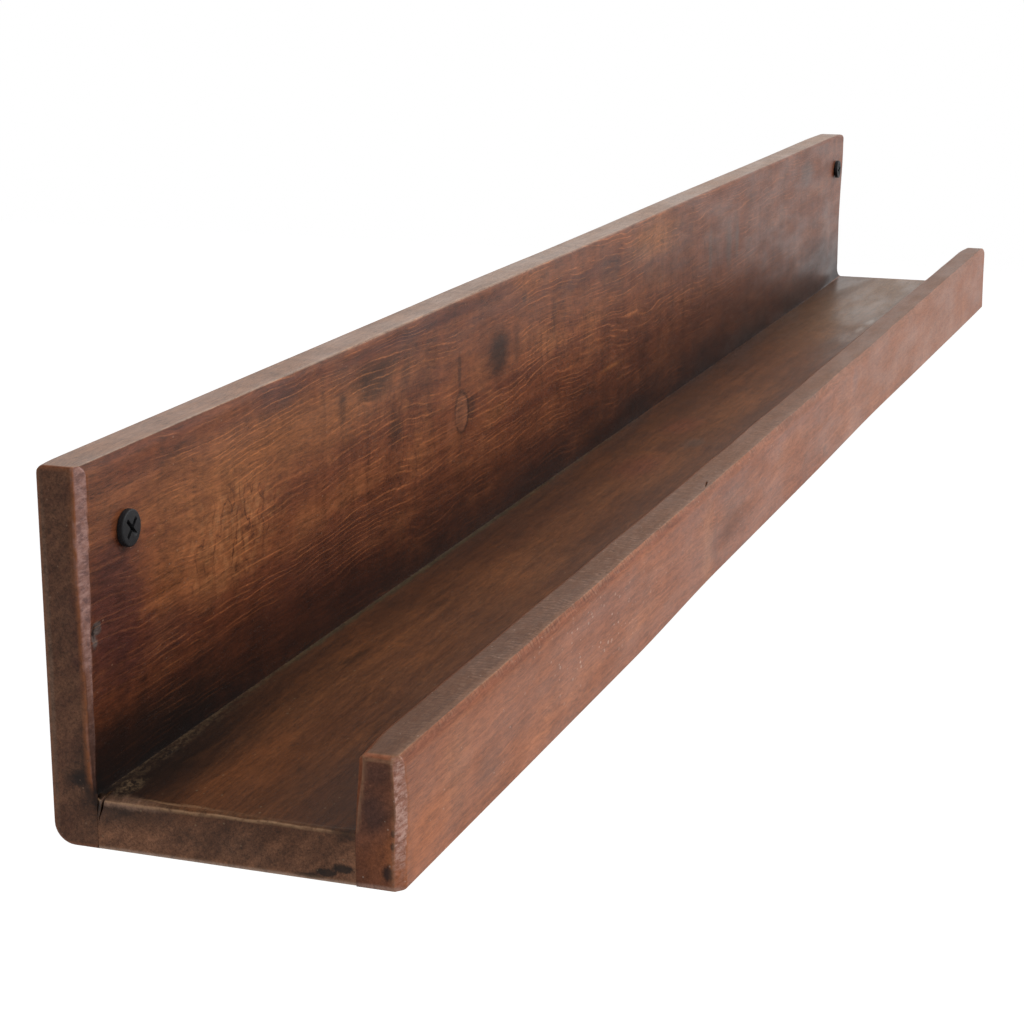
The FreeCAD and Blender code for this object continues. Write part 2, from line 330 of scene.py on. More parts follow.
class WoodPaint:
    # the wood of one board, laid on its colour layer by layer, with places from its near lower front corner
    def __init__(self, tree, look, corner):
        self.tree = tree
        self.look = look
        self.place = placeInMillimetres(tree, corner)
        self.parts = partsOf(tree, self.place)
        self.facing = partsOf(tree, addNode(tree, "ShaderNodeTexCoord").outputs["Normal"])
        self.slanted = vector1(tree, "ADD", self.place, vectorOf(tree, 0.0, self.parts[2]))
        self.grain = useGroup(tree, longGrain, {
            "Vector": self.place, "Length": look["grainLength"], "Spacing": look["grainSpacing"],
            "Bend": look["grainBend"], "Offset": look["grainOffset"]})
        self.cloud = self.noise("cloud")
        self.speckle = self.noise("speckle")
        self.breakup = self.noise("breakup")
        self.endOn = self.mask(math1(tree, "ABSOLUTE", self.facing[0]), "endFace")
        self.topOn = self.mask(self.facing[2], "topFace") if "topNear" in look else 0.0
        self.calm = self.mask(self.parts[0], "far", look["farShare"])
        self.colour = blendColour(tree, self.mask(self.grain["Bands"], "bands"), look["dark"], look["mid"])
        self.lay(self.mask(self.cloud, "light", look["cloudShare"]), look["light"])
        self.lay(self.mask(self.cloud, "deep", look["cloudShare"]), look["deep"])

    def noise(self, key, place=None):
        return noiseAt(self.tree, place or self.place, *woodNoise[key])

    def mask(self, value, key, *outputs):
        return ramp(self.tree, value, *woodEdges[key], *outputs)

    def rest(self, value):
        return math1(self.tree, "SUBTRACT", 1.0, value)

    def lay(self, share, over):
        self.colour = blendColour(self.tree, share, self.colour, over)

    def patchMask(self, centre, reach, edge, ragged):
        return useGroup(self.tree, softPatch, {"Vector": self.place, "Centre": centre, "Reach": reach,
                                               "Edge": edge, "Ragged": ragged})["Mask"]

    def speckMask(self, sizes):
        return useGroup(self.tree, fineSpecks, {"Vector": self.place, **sizes})["Mask"]

    def layEnds(self):
        look = self.look
        ends = blendColour(self.tree, self.mask(self.noise("rings", self.slanted), "rings"),
                           look["endDark"], look["endPale"])
        ends = blendColour(self.tree, self.mask(self.speckle, "endPores"), ends, look["pore"])
        ends = blendColour(self.tree, self.mask(self.speckle, "endFlecks"), ends, look["rub"])
        self.lay(self.endOn, ends)

    def layPatches(self):
        # a patch is (along, across, up, reach along, reach across, reach up, edge, ragged, colour, strength)
        for along, across, up, wide, deep, high, edge, ragged, shade, strength in self.look["patches"]:
            mask = self.patchMask((along, across, up), (wide, deep, high), edge, ragged)
            if shade == "dusty":
                mask = times(self.tree, mask, self.mask(self.speckle, "dusty"))
            if shade == "specks":
                mask = times(self.tree, mask, self.speckMask(specks))
            self.lay(times(self.tree, mask, strength), self.look[shade])

    def layTop(self):
        look = self.look
        far = self.mask(self.parts[0], "topFar")
        self.lay(times(self.tree, self.topOn, woodShape["topShare"]),
                 blendColour(self.tree, far, look["topNear"], look["topFar"]))
        # a pale line along the top front arris: painted highlight with some wear, fading towards the far end
        inner = look["topEdgeReach"] - woodShape["topEdgeSoft"]
        outer = look["topEdgeReach"] + woodShape["topEdgeSoft"]
        nearFront = ramp(self.tree, self.parts[1], outer, inner)
        edgeOn = times(self.tree, self.mask(self.facing[2], "edgeFace"), nearFront,
                       self.mask(self.parts[0], "edgeFar"), self.mask(self.speckle, "edgeBreaks"))
        self.lay(times(self.tree, edgeOn, look["topEdgeShare"]), look["topEdge"])

    def laySawMarks(self):
        # a row of saw marks is (along, up, reach along, reach up, lean, spacing, pale share, dark share)
        for along, up, wide, high, lean, spacing, paleShare, darkShare in self.look["sawMarks"]:
            mask = self.patchMask((along, 0, up), (wide, woodShape["sawAcross"], high), woodShape["sawEdge"],
                                  woodShape["sawRagged"])
            leaning = math1(self.tree, "MULTIPLY_ADD", self.parts[2], lean, self.parts[0])
            turns = math1(self.tree, "DIVIDE", leaning, spacing)
            turns = math1(self.tree, "MULTIPLY_ADD", self.noise("wander"), woodShape["sawWander"], turns)
            beat = math1(self.tree, "PINGPONG", turns, 0.5)
            streak = self.noise("streak")
            for key, share in (("sawPale", paleShare), ("sawDark", darkShare)):
                marks = times(self.tree, self.mask(beat, key), self.mask(streak, key + "Breaks"), mask, share)
                self.lay(marks, self.look[key])

    def layFine(self):
        look = self.look
        streaked = self.rest(times(self.tree, self.topOn, woodShape["topStreaks"]))
        fibre = self.mask(self.grain["Fibres"], "fibres", -look["fibreShare"], look["fibreShare"])
        fibre = times(self.tree, fibre, self.calm, streaked)
        grit = self.mask(self.grain["Grit"], "fine", -look["gritShare"], look["gritShare"])
        curl = self.mask(self.grain["Curl"], "fine", 1 - look["curlShare"], 1 + look["curlShare"])
        fine = math1(self.tree, "ADD", math1(self.tree, "ADD", curl, fibre), grit)
        self.colour = tintColour(self.tree, self.colour, fine, fine, fine)

    def layThreads(self):
        look = self.look
        inFrom = self.mask(self.parts[0], "nearEnd", look["nearThreads"], 1.0)
        threads = times(self.tree, self.grain["Threads"], self.rest(self.endOn), self.rest(self.topOn),
                        self.calm, inFrom, look["threadShare"])
        colour = blendColour(self.tree, 1.0, self.colour, woodShape["threadGlow"], "MULTIPLY")
        self.lay(threads, blendColour(self.tree, woodShape["threadTint"], colour, look["thread"]))
        pores = times(self.tree, self.grain["Pores"], self.calm, self.rest(self.endOn), look["poreShare"])
        self.lay(pores, look["pore"])

    def layWear(self, chamfer, ridges):
        look = self.look
        # the worn chamfers: pale bare wood with a painted sheen, palest on the ridges as painted highlights
        if "chamfer" in look:
            wornAndSheen = self.mask(self.breakup, "chamferDeep")
            wornAndSheen = blendColour(self.tree, wornAndSheen, look["chamfer"], look["chamferDeep"])
            wornAndSheen = blendColour(self.tree, self.mask(ridges, "chamferPale"), wornAndSheen, look["chamferPale"])
            self.lay(times(self.tree, chamfer, self.mask(self.breakup, "chamferBreaks")), wornAndSheen)
        # rubbed pale arrises, and a painted shine along the lip's front arris
        rub = addNode(self.tree, "ShaderNodeAttribute", attribute_name="rub").outputs["Fac"]
        self.lay(times(self.tree, rub, self.mask(self.breakup, "rubBreaks"), look["rubShare"]), look["rub"])
        self.lay(times(self.tree, self.speckMask(dustSpecks), look["dustShare"]), look["dust"])

    def layShadow(self):
        # painted shade with some grime: one face darkens towards the inner corner, redder as it gets darker
        shadow = self.look["shadow"]
        wander = times(self.tree, math1(self.tree, "SUBTRACT", self.cloud, 0.5), shadow["ragged"])
        level = math1(self.tree, "ADD", self.parts[shadow["axis"]], wander)
        dim = ramp(self.tree, level, shadow["dark"], shadow["clear"], shadow["share"], 1.0)
        facing = woodShape["shadowFacing"] * shadow["faceSign"]
        turned = woodShape["shadowTurned"] * shadow["faceSign"]
        turnedAway = ramp(self.tree, self.facing[shadow["faceAxis"]], facing, turned)
        dim = math1(self.tree, "MAXIMUM", dim, turnedAway)
        green = math1(self.tree, "POWER", dim, woodShape["shadowGreen"])
        blue = math1(self.tree, "POWER", dim, woodShape["shadowBlue"])
        self.colour = tintColour(self.tree, self.colour, dim, green, blue)

    def heights(self, chamfer, ridges):
        fibres = times(self.tree, self.grain["Fibres"], woodShape["fibreHeight"])
        height = math1(self.tree, "SUBTRACT", fibres, self.grain["Pores"])
        height = math1(self.tree, "ADD", height, times(self.tree, self.breakup, woodShape["breakupHeight"]))
        if "chamfer" in self.look:
            ridged = times(self.tree, ridges, chamfer, self.look["ridgeBump"])
            height = math1(self.tree, "ADD", height, ridged)
        return height


def makeBoardMaterial(name, look, corner):
    material, tree, shader = newMaterial(name)
    paint = WoodPaint(tree, look, corner)
    chamfer = ridges = None
    if "chamfer" in look:
        chamfer = addNode(tree, "ShaderNodeAttribute", attribute_name="chamfer").outputs["Fac"]
        ridges = noiseAt(tree, paint.slanted, look["ridgeScale"], woodShape["ridgeDetail"],
                         woodShape["ridgeRough"])
    paint.layEnds()
    paint.layPatches()
    if "topNear" in look:
        paint.layTop()
    if "sawMarks" in look:
        paint.laySawMarks()
    paint.layFine()
    paint.layThreads()
    paint.layWear(chamfer, ridges)
    if "shadow" in look:
        paint.layShadow()
    rough = paint.mask(paint.noise("uneven"), "uneven", look["roughLow"], look["roughHigh"])
    bump = addNode(tree, "ShaderNodeBump", {
        "Height": paint.heights(chamfer, ridges), "Strength": look["bump"],
        "Distance": woodShape["bumpDepth"]})
    tree.links.new(paint.colour, shader.inputs["Base Color"])
    tree.links.new(rough, shader.inputs["Roughness"])
    tree.links.new(bump.outputs[0], shader.inputs["Normal"])
    shader.inputs["Specular IOR Level"].default_value = look["specular"]
    return material


# Board shapes: a cube with eased long edges, sliced finely, then worn vertex by vertex
boardShape = {
    "roundSegments": 8, "growthAlong": 1.04, "lastGap": 1.5, "nearEnough": 1e-6, "sliceMerge": 1e-7,
}


def spacedPlaces(low, high, fine, coarse, growth):
    # steps are fine at both ends and grow towards the middle
    reach, step, gaps = 0.0, fine, []
    while reach + step * boardShape["lastGap"] < (high - low) / 2:
        reach += step
        gaps.append(reach)
        step = min(coarse, step * growth)
    return [low + gap for gap in gaps] + [high - gap for gap in reversed(gaps)]


def sliceAt(bm, places, axis):
    normal = Vector([float(index == axis) for index in range(3)])
    for place in places:
        everything = bm.verts[:] + bm.edges[:] + bm.faces[:]
        bmesh.ops.bisect_plane(bm, geom=everything, dist=boardShape["sliceMerge"], plane_co=normal * place,
                               plane_no=normal)


def cubeOf(size):
    bm = bmesh.new()
    bmesh.ops.create_cube(bm, size=1.0)
    bmesh.ops.scale(bm, vec=size, verts=bm.verts)
    return bm


def turnShape(bm, degrees, axis):
    turn = Matrix.Rotation(math.radians(degrees), 3, axis)
    bmesh.ops.rotate(bm, verts=bm.verts, cent=(0, 0, 0), matrix=turn)


def slicedBoard(low, high, rounds, spacing):
    # rounds: (towards the wall, upwards) corner to radius
    bm = cubeOf(high - low)
    bmesh.ops.translate(bm, vec=(low + high) / 2, verts=bm.verts)

    def lengthwiseEdges():
        return [edge for edge in bm.edges
                if abs(edge.verts[0].co.x - edge.verts[1].co.x) > (high.x - low.x) / 2]

    for (wallward, upward), radius in rounds.items():
        if radius == 0:
            continue
        corner = Vector((0, high.y if wallward else low.y, high.z if upward else low.z))
        edges = []
        for edge in lengthwiseEdges():
            away = (edge.verts[0].co + edge.verts[1].co) / 2 - corner
            if max(abs(away.y), abs(away.z)) < boardShape["nearEnough"]:
                edges.append(edge)
        bmesh.ops.bevel(bm, geom=edges, offset=radius, offset_type="OFFSET",
                        segments=boardShape["roundSegments"], profile=0.5, affect="EDGES", material=-1)
    sliceAt(bm, spacedPlaces(low.y, high.y, spacing["fine"], spacing["coarse"], spacing["growth"]), 1)
    sliceAt(bm, spacedPlaces(low.z, high.z, spacing["fine"], spacing["coarse"], spacing["growth"]), 2)
    sliceAt(bm, [low.z + height for height in spacing.get("extraUp", ())], 2)
    between = spacedPlaces(low.x, high.x, spacing["fine"], spacing["coarseAlong"], boardShape["growthAlong"])
    places = [low.x] + between + [high.x]
    bmesh.ops.subdivide_edges(bm, edges=lengthwiseEdges(), cuts=len(between), use_grid_fill=True)
    for vert in bm.verts:
        index = round((vert.co.x - low.x) / (high.x - low.x) * (len(places) - 1))
        vert.co.x = places[index]
    return bm


wearShape = {
    "roughReach": 2.0 * mm, "chamferSoft": 0.25 * mm, "rubReach": 0.7 * mm, "endRubReach": 1.1 * mm,
    "meetingReach": 3.0 * mm, "meetingUp": (0.6 * mm, 1.6 * mm), "seedLift": 0.37, "smoothAngle": 40,
}


def smooth(value, start, stop):
    share = max(0.0, min(1.0, (value - start) / (stop - start)))
    return share * share * (3 - 2 * share)


def bell(value, centre, reach):
    return math.exp(-((value - centre) / reach) ** 2)


def ripple(seed, *places):
    # smooth noise about 0, given places already divided by their wavelengths
    spot = [seed] + list(places) + [0.0, 0.0]
    return noise.noise(Vector(spot[:3]) + Vector((0.0, 0.0, seed * wearShape["seedLift"])))


def blend(one, other, share):
    return one + (other - one) * share


def waver(spec, *places):
    # ripple from (seed, wavelengths), given places in metres
    seed, *waves = spec
    return ripple(seed, *(place / wave for place, wave in zip(places, waves)))


def stepsAlong(along, steps):
    # adds up (height, start, stop) steps along a board
    return sum(height * smooth(along, start, stop) for height, start, stop in steps)


def wobbled(place, wobbles, side):
    # about 1; a wobble is (size, seed, wavelength)
    return 1 + sum(size * ripple(seed, place / wave, side) for size, seed, wave in wobbles)


class WornPoint:
    # one vertex of a board: how deep it lies under each face, as wear takes wood away
    def __init__(self, vert, low, high, rounds):
        self.vert = vert
        self.side = 1.0 if vert.co.x > 0 else -1.0
        self.along = vert.co.x - low.x
        self.up = vert.co.z - low.z
        self.gap = {
            "end": high.x - abs(vert.co.x),
            "front": vert.co.y - low.y,
            "back": high.y - vert.co.y,
            "foot": vert.co.z - low.z,
            "top": high.z - vert.co.z,
        }
        self.start = dict(self.gap)
        self.rounds = rounds
        self.chamfer = 0.0
        self.rub = 0.0

    def sink(self, face, depth):
        self.gap[face] += depth

    def roughenEnd(self, depth, spec, *places):
        # the saw left the ends a little out of square
        near = bell(self.gap["end"], 0, wearShape["roughReach"])
        self.sink("end", depth * (1 + waver(spec, *places)) * near)

    def openCrack(self, face, end, spec):
        # the end gapes a little where another board meets this face
        near = bell(self.up, spec["up"], spec["reachUp"]) * bell(end, 0, spec["reachEnd"])
        self.sink("end", spec["depth"] * near * bell(self.gap[face], spec["gap"], spec["reachGap"]))

    def meeting(self, face, free):
        # 1 where the end arris stays sharp, because another board is glued on there
        near = bell(self.gap[face], 0, wearShape["meetingReach"])
        return (1 - free) * near * smooth(self.up, *wearShape["meetingUp"])

    def easeMore(self, one, other, end, width, more, reach, soft, rub):
        # a bevel that widens towards the board's end
        width += more * bell(end, 0, reach)
        self.ease(one, other, width, width, soft, (rub, rub))

    def ease(self, one, other, widthOne, widthOther, soft, rubs, rubReach=wearShape["rubReach"],
             asChamfer=False):
        # a flat worn bevel between two faces, blended softly into both; rubs are its share at each face
        slope = math.hypot(1 / widthOne, 1 / widthOther)
        nearOne = self.gap[one] / widthOne < self.gap[other] / widthOther
        over = (1 - self.gap[one] / widthOne - self.gap[other] / widthOther) / slope
        if over <= -soft:
            lift = 0.0
        elif over < soft:
            lift = (over + soft) ** 2 / (4 * soft)
        else:
            lift = over
        self.gap[one] += lift / widthOne / slope
        self.gap[other] += lift / widthOther / slope
        if asChamfer:
            self.chamfer = max(self.chamfer, smooth(over, 0.0, wearShape["chamferSoft"]))
        near = max(0.0, 1 - abs(over) / rubReach) * rubs[0 if nearOne else 1]
        self.rub = max(self.rub, near)

    def easeEnd(self, width, soft, rubShare):
        # the arris all round an end face, along the rounded outline
        wallward = self.gap["back"] < self.gap["front"]
        upward = self.gap["top"] < self.gap["foot"]
        sideFace = "back" if wallward else "front"
        levelFace = "top" if upward else "foot"
        radius = self.rounds[(wallward, upward)]
        toSide, toLevel = self.start[sideFace], self.start[levelFace]
        waySide, wayLevel = (1.0, 0.0) if toSide < toLevel else (0.0, 1.0)
        depth = min(toSide, toLevel)
        if toSide < radius and toLevel < radius:
            reach = math.hypot(radius - toSide, radius - toLevel)
            depth = radius - reach
            waySide, wayLevel = (radius - toSide) / reach, (radius - toLevel) / reach
        over = (1 - (self.gap["end"] + depth) / width) * width / math.sqrt(2)
        if over <= -soft:
            return
        lift = over if over >= soft else (over + soft) ** 2 / (4 * soft)
        self.gap["end"] += lift / math.sqrt(2)
        self.gap[sideFace] += lift / math.sqrt(2) * waySide
        self.gap[levelFace] += lift / math.sqrt(2) * wayLevel
        self.rub = max(self.rub, rubShare * max(0.0, 1 - abs(over) / wearShape["endRubReach"]))

    def settle(self, chamferLayer, rubLayer):
        moved = {face: self.gap[face] - self.start[face] for face in self.gap}
        self.vert.co.x -= self.side * moved["end"]
        self.vert.co.y += moved["front"] - moved["back"]
        self.vert.co.z += moved["foot"] - moved["top"]
        self.vert[chamferLayer] = self.chamfer
        self.vert[rubLayer] = self.rub


def wearBoard(bm, low, high, board, wearOne):
    chamferLayer = bm.verts.layers.float.new("chamfer")
    rubLayer = bm.verts.layers.float.new("rub")
    for vert in bm.verts:
        point = WornPoint(vert, low, high, board["rounds"])
        wearOne(point, board["wear"])
        point.settle(chamferLayer, rubLayer)


def finishPiece(bm, name, material, nodes, smoothAngle):
    bmesh.ops.recalc_face_normals(bm, faces=bm.faces)
    mesh = bpy.data.meshes.new(name)
    bm.to_mesh(mesh)
    bm.free()
    mesh.polygons.foreach_set("use_smooth", [True] * len(mesh.polygons))
    mesh.set_sharp_from_angle(angle=math.radians(smoothAngle))
    mesh.materials.append(material)
    piece = bpy.data.objects.new(name, mesh)
    bpy.context.scene.collection.objects.link(piece)
    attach(piece, "root")
    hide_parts(*nodes)
    return piece


def makeBoard(board, wearOne):
    node = board["node"]
    low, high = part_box(node)
    bm = slicedBoard(low, high, board["rounds"], board["spacing"])
    wearBoard(bm, low, high, board, wearOne)
    material = makeBoardMaterial(node + "Wood", board["look"], (low.x, low.y, low.z))
    piece = finishPiece(bm, "old_" + node, material, [node], wearShape["smoothAngle"])
    print(node, "shaped:", len(piece.data.vertices), "points")
    return piece


def cutAway(piece, cutter, selfCrossing=False):
    # takes the cutter's shape out of the piece for good
    carve = piece.modifiers.new("carve", "BOOLEAN")
    carve.operation = "DIFFERENCE"
    carve.solver = "EXACT"
    carve.object = cutter
    carve.use_self = selfCrossing
    shaped = piece.evaluated_get(bpy.context.evaluated_depsgraph_get())
    mesh = bpy.data.meshes.new_from_object(shaped)
    piece.modifiers.clear()
    old = piece.data
    mesh.name = old.name
    piece.data = mesh
    bpy.data.meshes.remove(old)
    bpy.data.objects.remove(cutter)


def spunShape(profile, steps):
    # turns (radius, height) points about Z, closed at the poles
    bm = bmesh.new()
    verts = [bm.verts.new((radius, 0, height)) for radius, height in profile]
    edges = [bm.edges.new(pair) for pair in zip(verts, verts[1:])]
    bmesh.ops.spin(bm, geom=verts + edges, cent=(0, 0, 0), axis=(0, 0, 1), angle=math.tau, steps=steps,
                   use_merge=True)
    bmesh.ops.remove_doubles(bm, verts=bm.verts, dist=boardShape["nearEnough"])
    bmesh.ops.recalc_face_normals(bm, faces=bm.faces)
    return bm


def looseObject(bm, name):
    mesh = bpy.data.meshes.new(name)
    bm.to_mesh(mesh)
    bm.free()
    made = bpy.data.objects.new(name, mesh)
    bpy.context.scene.collection.objects.link(made)
    return made


def joinInto(bm, other):
    mesh = bpy.data.meshes.new("joined")
    other.to_mesh(mesh)
    other.free()
    bm.from_mesh(mesh)
    bpy.data.meshes.remove(mesh)


# Screws point into the wood along -Z before they are placed
wallScrew = {
    "headRadius": 5.0 * mm, "headHeight": 1.7 * mm, "headEdge": 0.45 * mm,
    "coneRadius": 4.2 * mm, "neckRadius": 1.75 * mm, "coreRadius": 1.7 * mm, "threadRadius": 2.5 * mm,
    "threadStart": 14.0 * mm, "length": 25.0 * mm, "tipLength": 4.5 * mm, "pitch": 1.9 * mm,
    "crossSpan": 6.8 * mm, "crossFoot": 2.0 * mm, "crossWidth": 1.2 * mm, "crossDepth": 2.0 * mm,
    "turns": {"wall_screw_left": 44.0, "wall_screw_right": 12.0}, "slot": "black_screw",
    "look": {"dark": tone(10, 10, 12), "pale": tone(28, 28, 31), "roughLow": 0.45, "roughHigh": 0.7,
             "bump": 0.35, "metallic": 0.0, "specular": 0.25},
}
jointScrew = {
    "headRadius": 4.0 * mm, "headHeight": 0.0, "headEdge": 0.15 * mm,
    "coneRadius": 3.8 * mm, "neckRadius": 1.4 * mm, "coreRadius": 1.3 * mm, "threadRadius": 2.0 * mm,
    "threadStart": 11.5 * mm, "length": 37.5 * mm, "tipLength": 3.5 * mm, "pitch": 1.7 * mm,
    "crossSpan": 4.2 * mm, "crossFoot": 1.4 * mm, "crossWidth": 0.9 * mm, "crossDepth": 1.6 * mm,
    "count": 5, "turnStep": 31.0, "slot": "joint_screw",
    "look": {"dark": tone(150, 146, 138), "pale": tone(182, 178, 168), "roughLow": 0.3, "roughHigh": 0.5,
             "bump": 0.25, "metallic": 1.0, "specular": 0.5},
}
screwShape = {
    "crossFlare": 0.2, "edgeSteps": 4, "underEdge": 0.08 * mm, "shoulder": 0.3 * mm, "tip": 0.3 * mm,
    "spinSteps": 48, "smoothAngle": 35,
}
holeRoom = {"head": 0.1 * mm, "thread": 0.25 * mm, "overrun": 1.0 * mm, "depth": 14.0 * mm, "spinSteps": 40}
threadShape = {
    "steps": 28, "runOut": 0.6, "footShare": 0.28, "crestShare": 0.03, "sunk": 0.15 * mm,
    "fadeShares": (-0.3, 0.8), "tipShare": 0.88, "leastCore": 0.05 * mm, "sunkSlack": 0.1 * mm,
}


def crossCutter(spec, top, turn):
    # two crossed wings that taper downwards
    bm = bmesh.new()
    foot = spec["crossFoot"] / spec["crossSpan"]
    flare = screwShape["crossFlare"]
    for quarter in (0, 90):
        wing = cubeOf((spec["crossSpan"], spec["crossWidth"], spec["crossDepth"] * 2))
        for vert in wing.verts:
            vert.co.x *= 2 - foot if vert.co.z > 0 else foot
            vert.co.y *= 1 + flare if vert.co.z > 0 else 1 - flare
        turnShape(wing, turn + quarter, "Z")
        bmesh.ops.translate(wing, verts=wing.verts, vec=(0, 0, top))
        joinInto(bm, wing)
    return looseObject(bm, "crossCutter")


def screwBody(spec):
    low = -spec["length"]
    top = spec["headHeight"]
    edge = spec["headEdge"]
    under, shoulder, tip = screwShape["underEdge"], screwShape["shoulder"], screwShape["tip"]
    profile = [(0, top), (spec["headRadius"] - edge, top)]
    for step in range(1, screwShape["edgeSteps"] + 1):
        turn = math.radians(90 * (1 - step / screwShape["edgeSteps"]))
        profile.append((spec["headRadius"] - edge * (1 - math.cos(turn)), top - edge * (1 - math.sin(turn))))
    if top > 0:
        profile.append((spec["headRadius"], under))
        profile.append((spec["headRadius"] - under, 0))
        profile.append((spec["coneRadius"], 0))
    profile += [
        (spec["neckRadius"], -(spec["coneRadius"] - spec["neckRadius"])),
        (spec["neckRadius"], -spec["threadStart"]),
        (spec["coreRadius"], -spec["threadStart"] - shoulder),
        (spec["coreRadius"], low + spec["tipLength"]),
        (tip, low + tip),
        (0, low),
    ]
    return spunShape(profile, screwShape["spinSteps"])


def screwThread(spec):
    pitch, steps, sunk = spec["pitch"], threadShape["steps"], threadShape["sunk"]
    foot, crest = pitch * threadShape["footShare"], pitch * threadShape["crestShare"]
    first = -spec["threadStart"] - pitch * threadShape["runOut"]
    last = -spec["length"] + pitch * threadShape["runOut"]
    turns = (first - last) / pitch
    ring = bmesh.new()
    inner = spec["coreRadius"] - sunk
    outline = [(inner, foot), (spec["threadRadius"], crest), (spec["threadRadius"], -crest), (inner, -foot)]
    verts = [ring.verts.new((radius, 0, first + height)) for radius, height in outline]
    edges = [ring.edges.new((verts[index], verts[index - 1])) for index in range(len(verts))]
    count = int(turns * steps)
    made = bmesh.ops.spin(ring, geom=verts + edges, cent=(0, 0, 0), axis=(0, 0, 1),
                          angle=math.tau * count / steps, steps=count, dvec=(0, 0, -pitch / steps))
    bmesh.ops.holes_fill(ring, edges=ring.edges, sides=8)
    tipStart = -spec["length"] + spec["tipLength"]
    fadeFrom, fadeTo = (pitch * share for share in threadShape["fadeShares"])
    for vert in ring.verts:
        # the thread runs out to nothing at its start and follows the tip's cone
        radius = math.hypot(vert.co.x, vert.co.y)
        cone = max(0.0, (tipStart - vert.co.z) / spec["tipLength"])
        limit = spec["threadRadius"] * (1 - threadShape["tipShare"] * cone)
        wanted = max(threadShape["leastCore"], inner * (1 - cone))
        if radius > inner + threadShape["sunkSlack"]:
            wanted = min(radius, blend(wanted, limit, smooth(first - vert.co.z, fadeFrom, fadeTo)))
        vert.co.x *= wanted / radius
        vert.co.y *= wanted / radius
    return ring


def standScrew(bm, place, headTowards):
    # +Z of the screw becomes the way its head faces
    turnUp = Matrix.Rotation(math.radians(90 if headTowards < 0 else -90), 4, "X")
    bmesh.ops.transform(bm, matrix=Matrix.Translation(place) @ turnUp, verts=bm.verts)


def makeScrew(name, spec, place, headTowards, turn, material, node):
    body = screwBody(spec)
    thread = screwThread(spec)
    mesh = bpy.data.meshes.new(name)
    bmesh.ops.recalc_face_normals(body, faces=body.faces)
    body.to_mesh(mesh)
    body.free()
    screw = bpy.data.objects.new(name, mesh)
    bpy.context.scene.collection.objects.link(screw)
    cutAway(screw, crossCutter(spec, spec["headHeight"], turn), selfCrossing=True)
    bm = bmesh.new()
    bm.from_mesh(screw.data)
    bpy.data.objects.remove(screw)
    bmesh.ops.recalc_face_normals(thread, faces=thread.faces)
    joinInto(bm, thread)
    standScrew(bm, place, headTowards)
    return finishPiece(bm, name, material, [node], screwShape["smoothAngle"])


metalShape = {
    "mottle": ((2.2, 2.2, 2.2), 5.0, 0.7), "grit": ((9.0, 9.0, 9.0), 3.0, 0.6),
    "colourEdge": (0.35, 0.7), "roughEdge": (0.3, 0.7), "bumpDepth": 0.05 * mm,
}


def makeMetalMaterial(name, look):
    material, tree, shader = newMaterial(name)
    place = placeInMillimetres(tree)
    mottle = noiseAt(tree, place, *metalShape["mottle"])
    colour = blendColour(tree, ramp(tree, mottle, *metalShape["colourEdge"]), look["dark"], look["pale"])
    rough = ramp(tree, mottle, *metalShape["roughEdge"], look["roughLow"], look["roughHigh"])
    tree.links.new(colour, shader.inputs["Base Color"])
    tree.links.new(rough, shader.inputs["Roughness"])
    grit = noiseAt(tree, place, *metalShape["grit"])
    bump = addNode(tree, "ShaderNodeBump", {
        "Height": grit, "Strength": look["bump"], "Distance": metalShape["bumpDepth"]})
    tree.links.new(bump.outputs[0], shader.inputs["Normal"])
    shader.inputs["Metallic"].default_value = look["metallic"]
    shader.inputs["Specular IOR Level"].default_value = look["specular"]
    return material


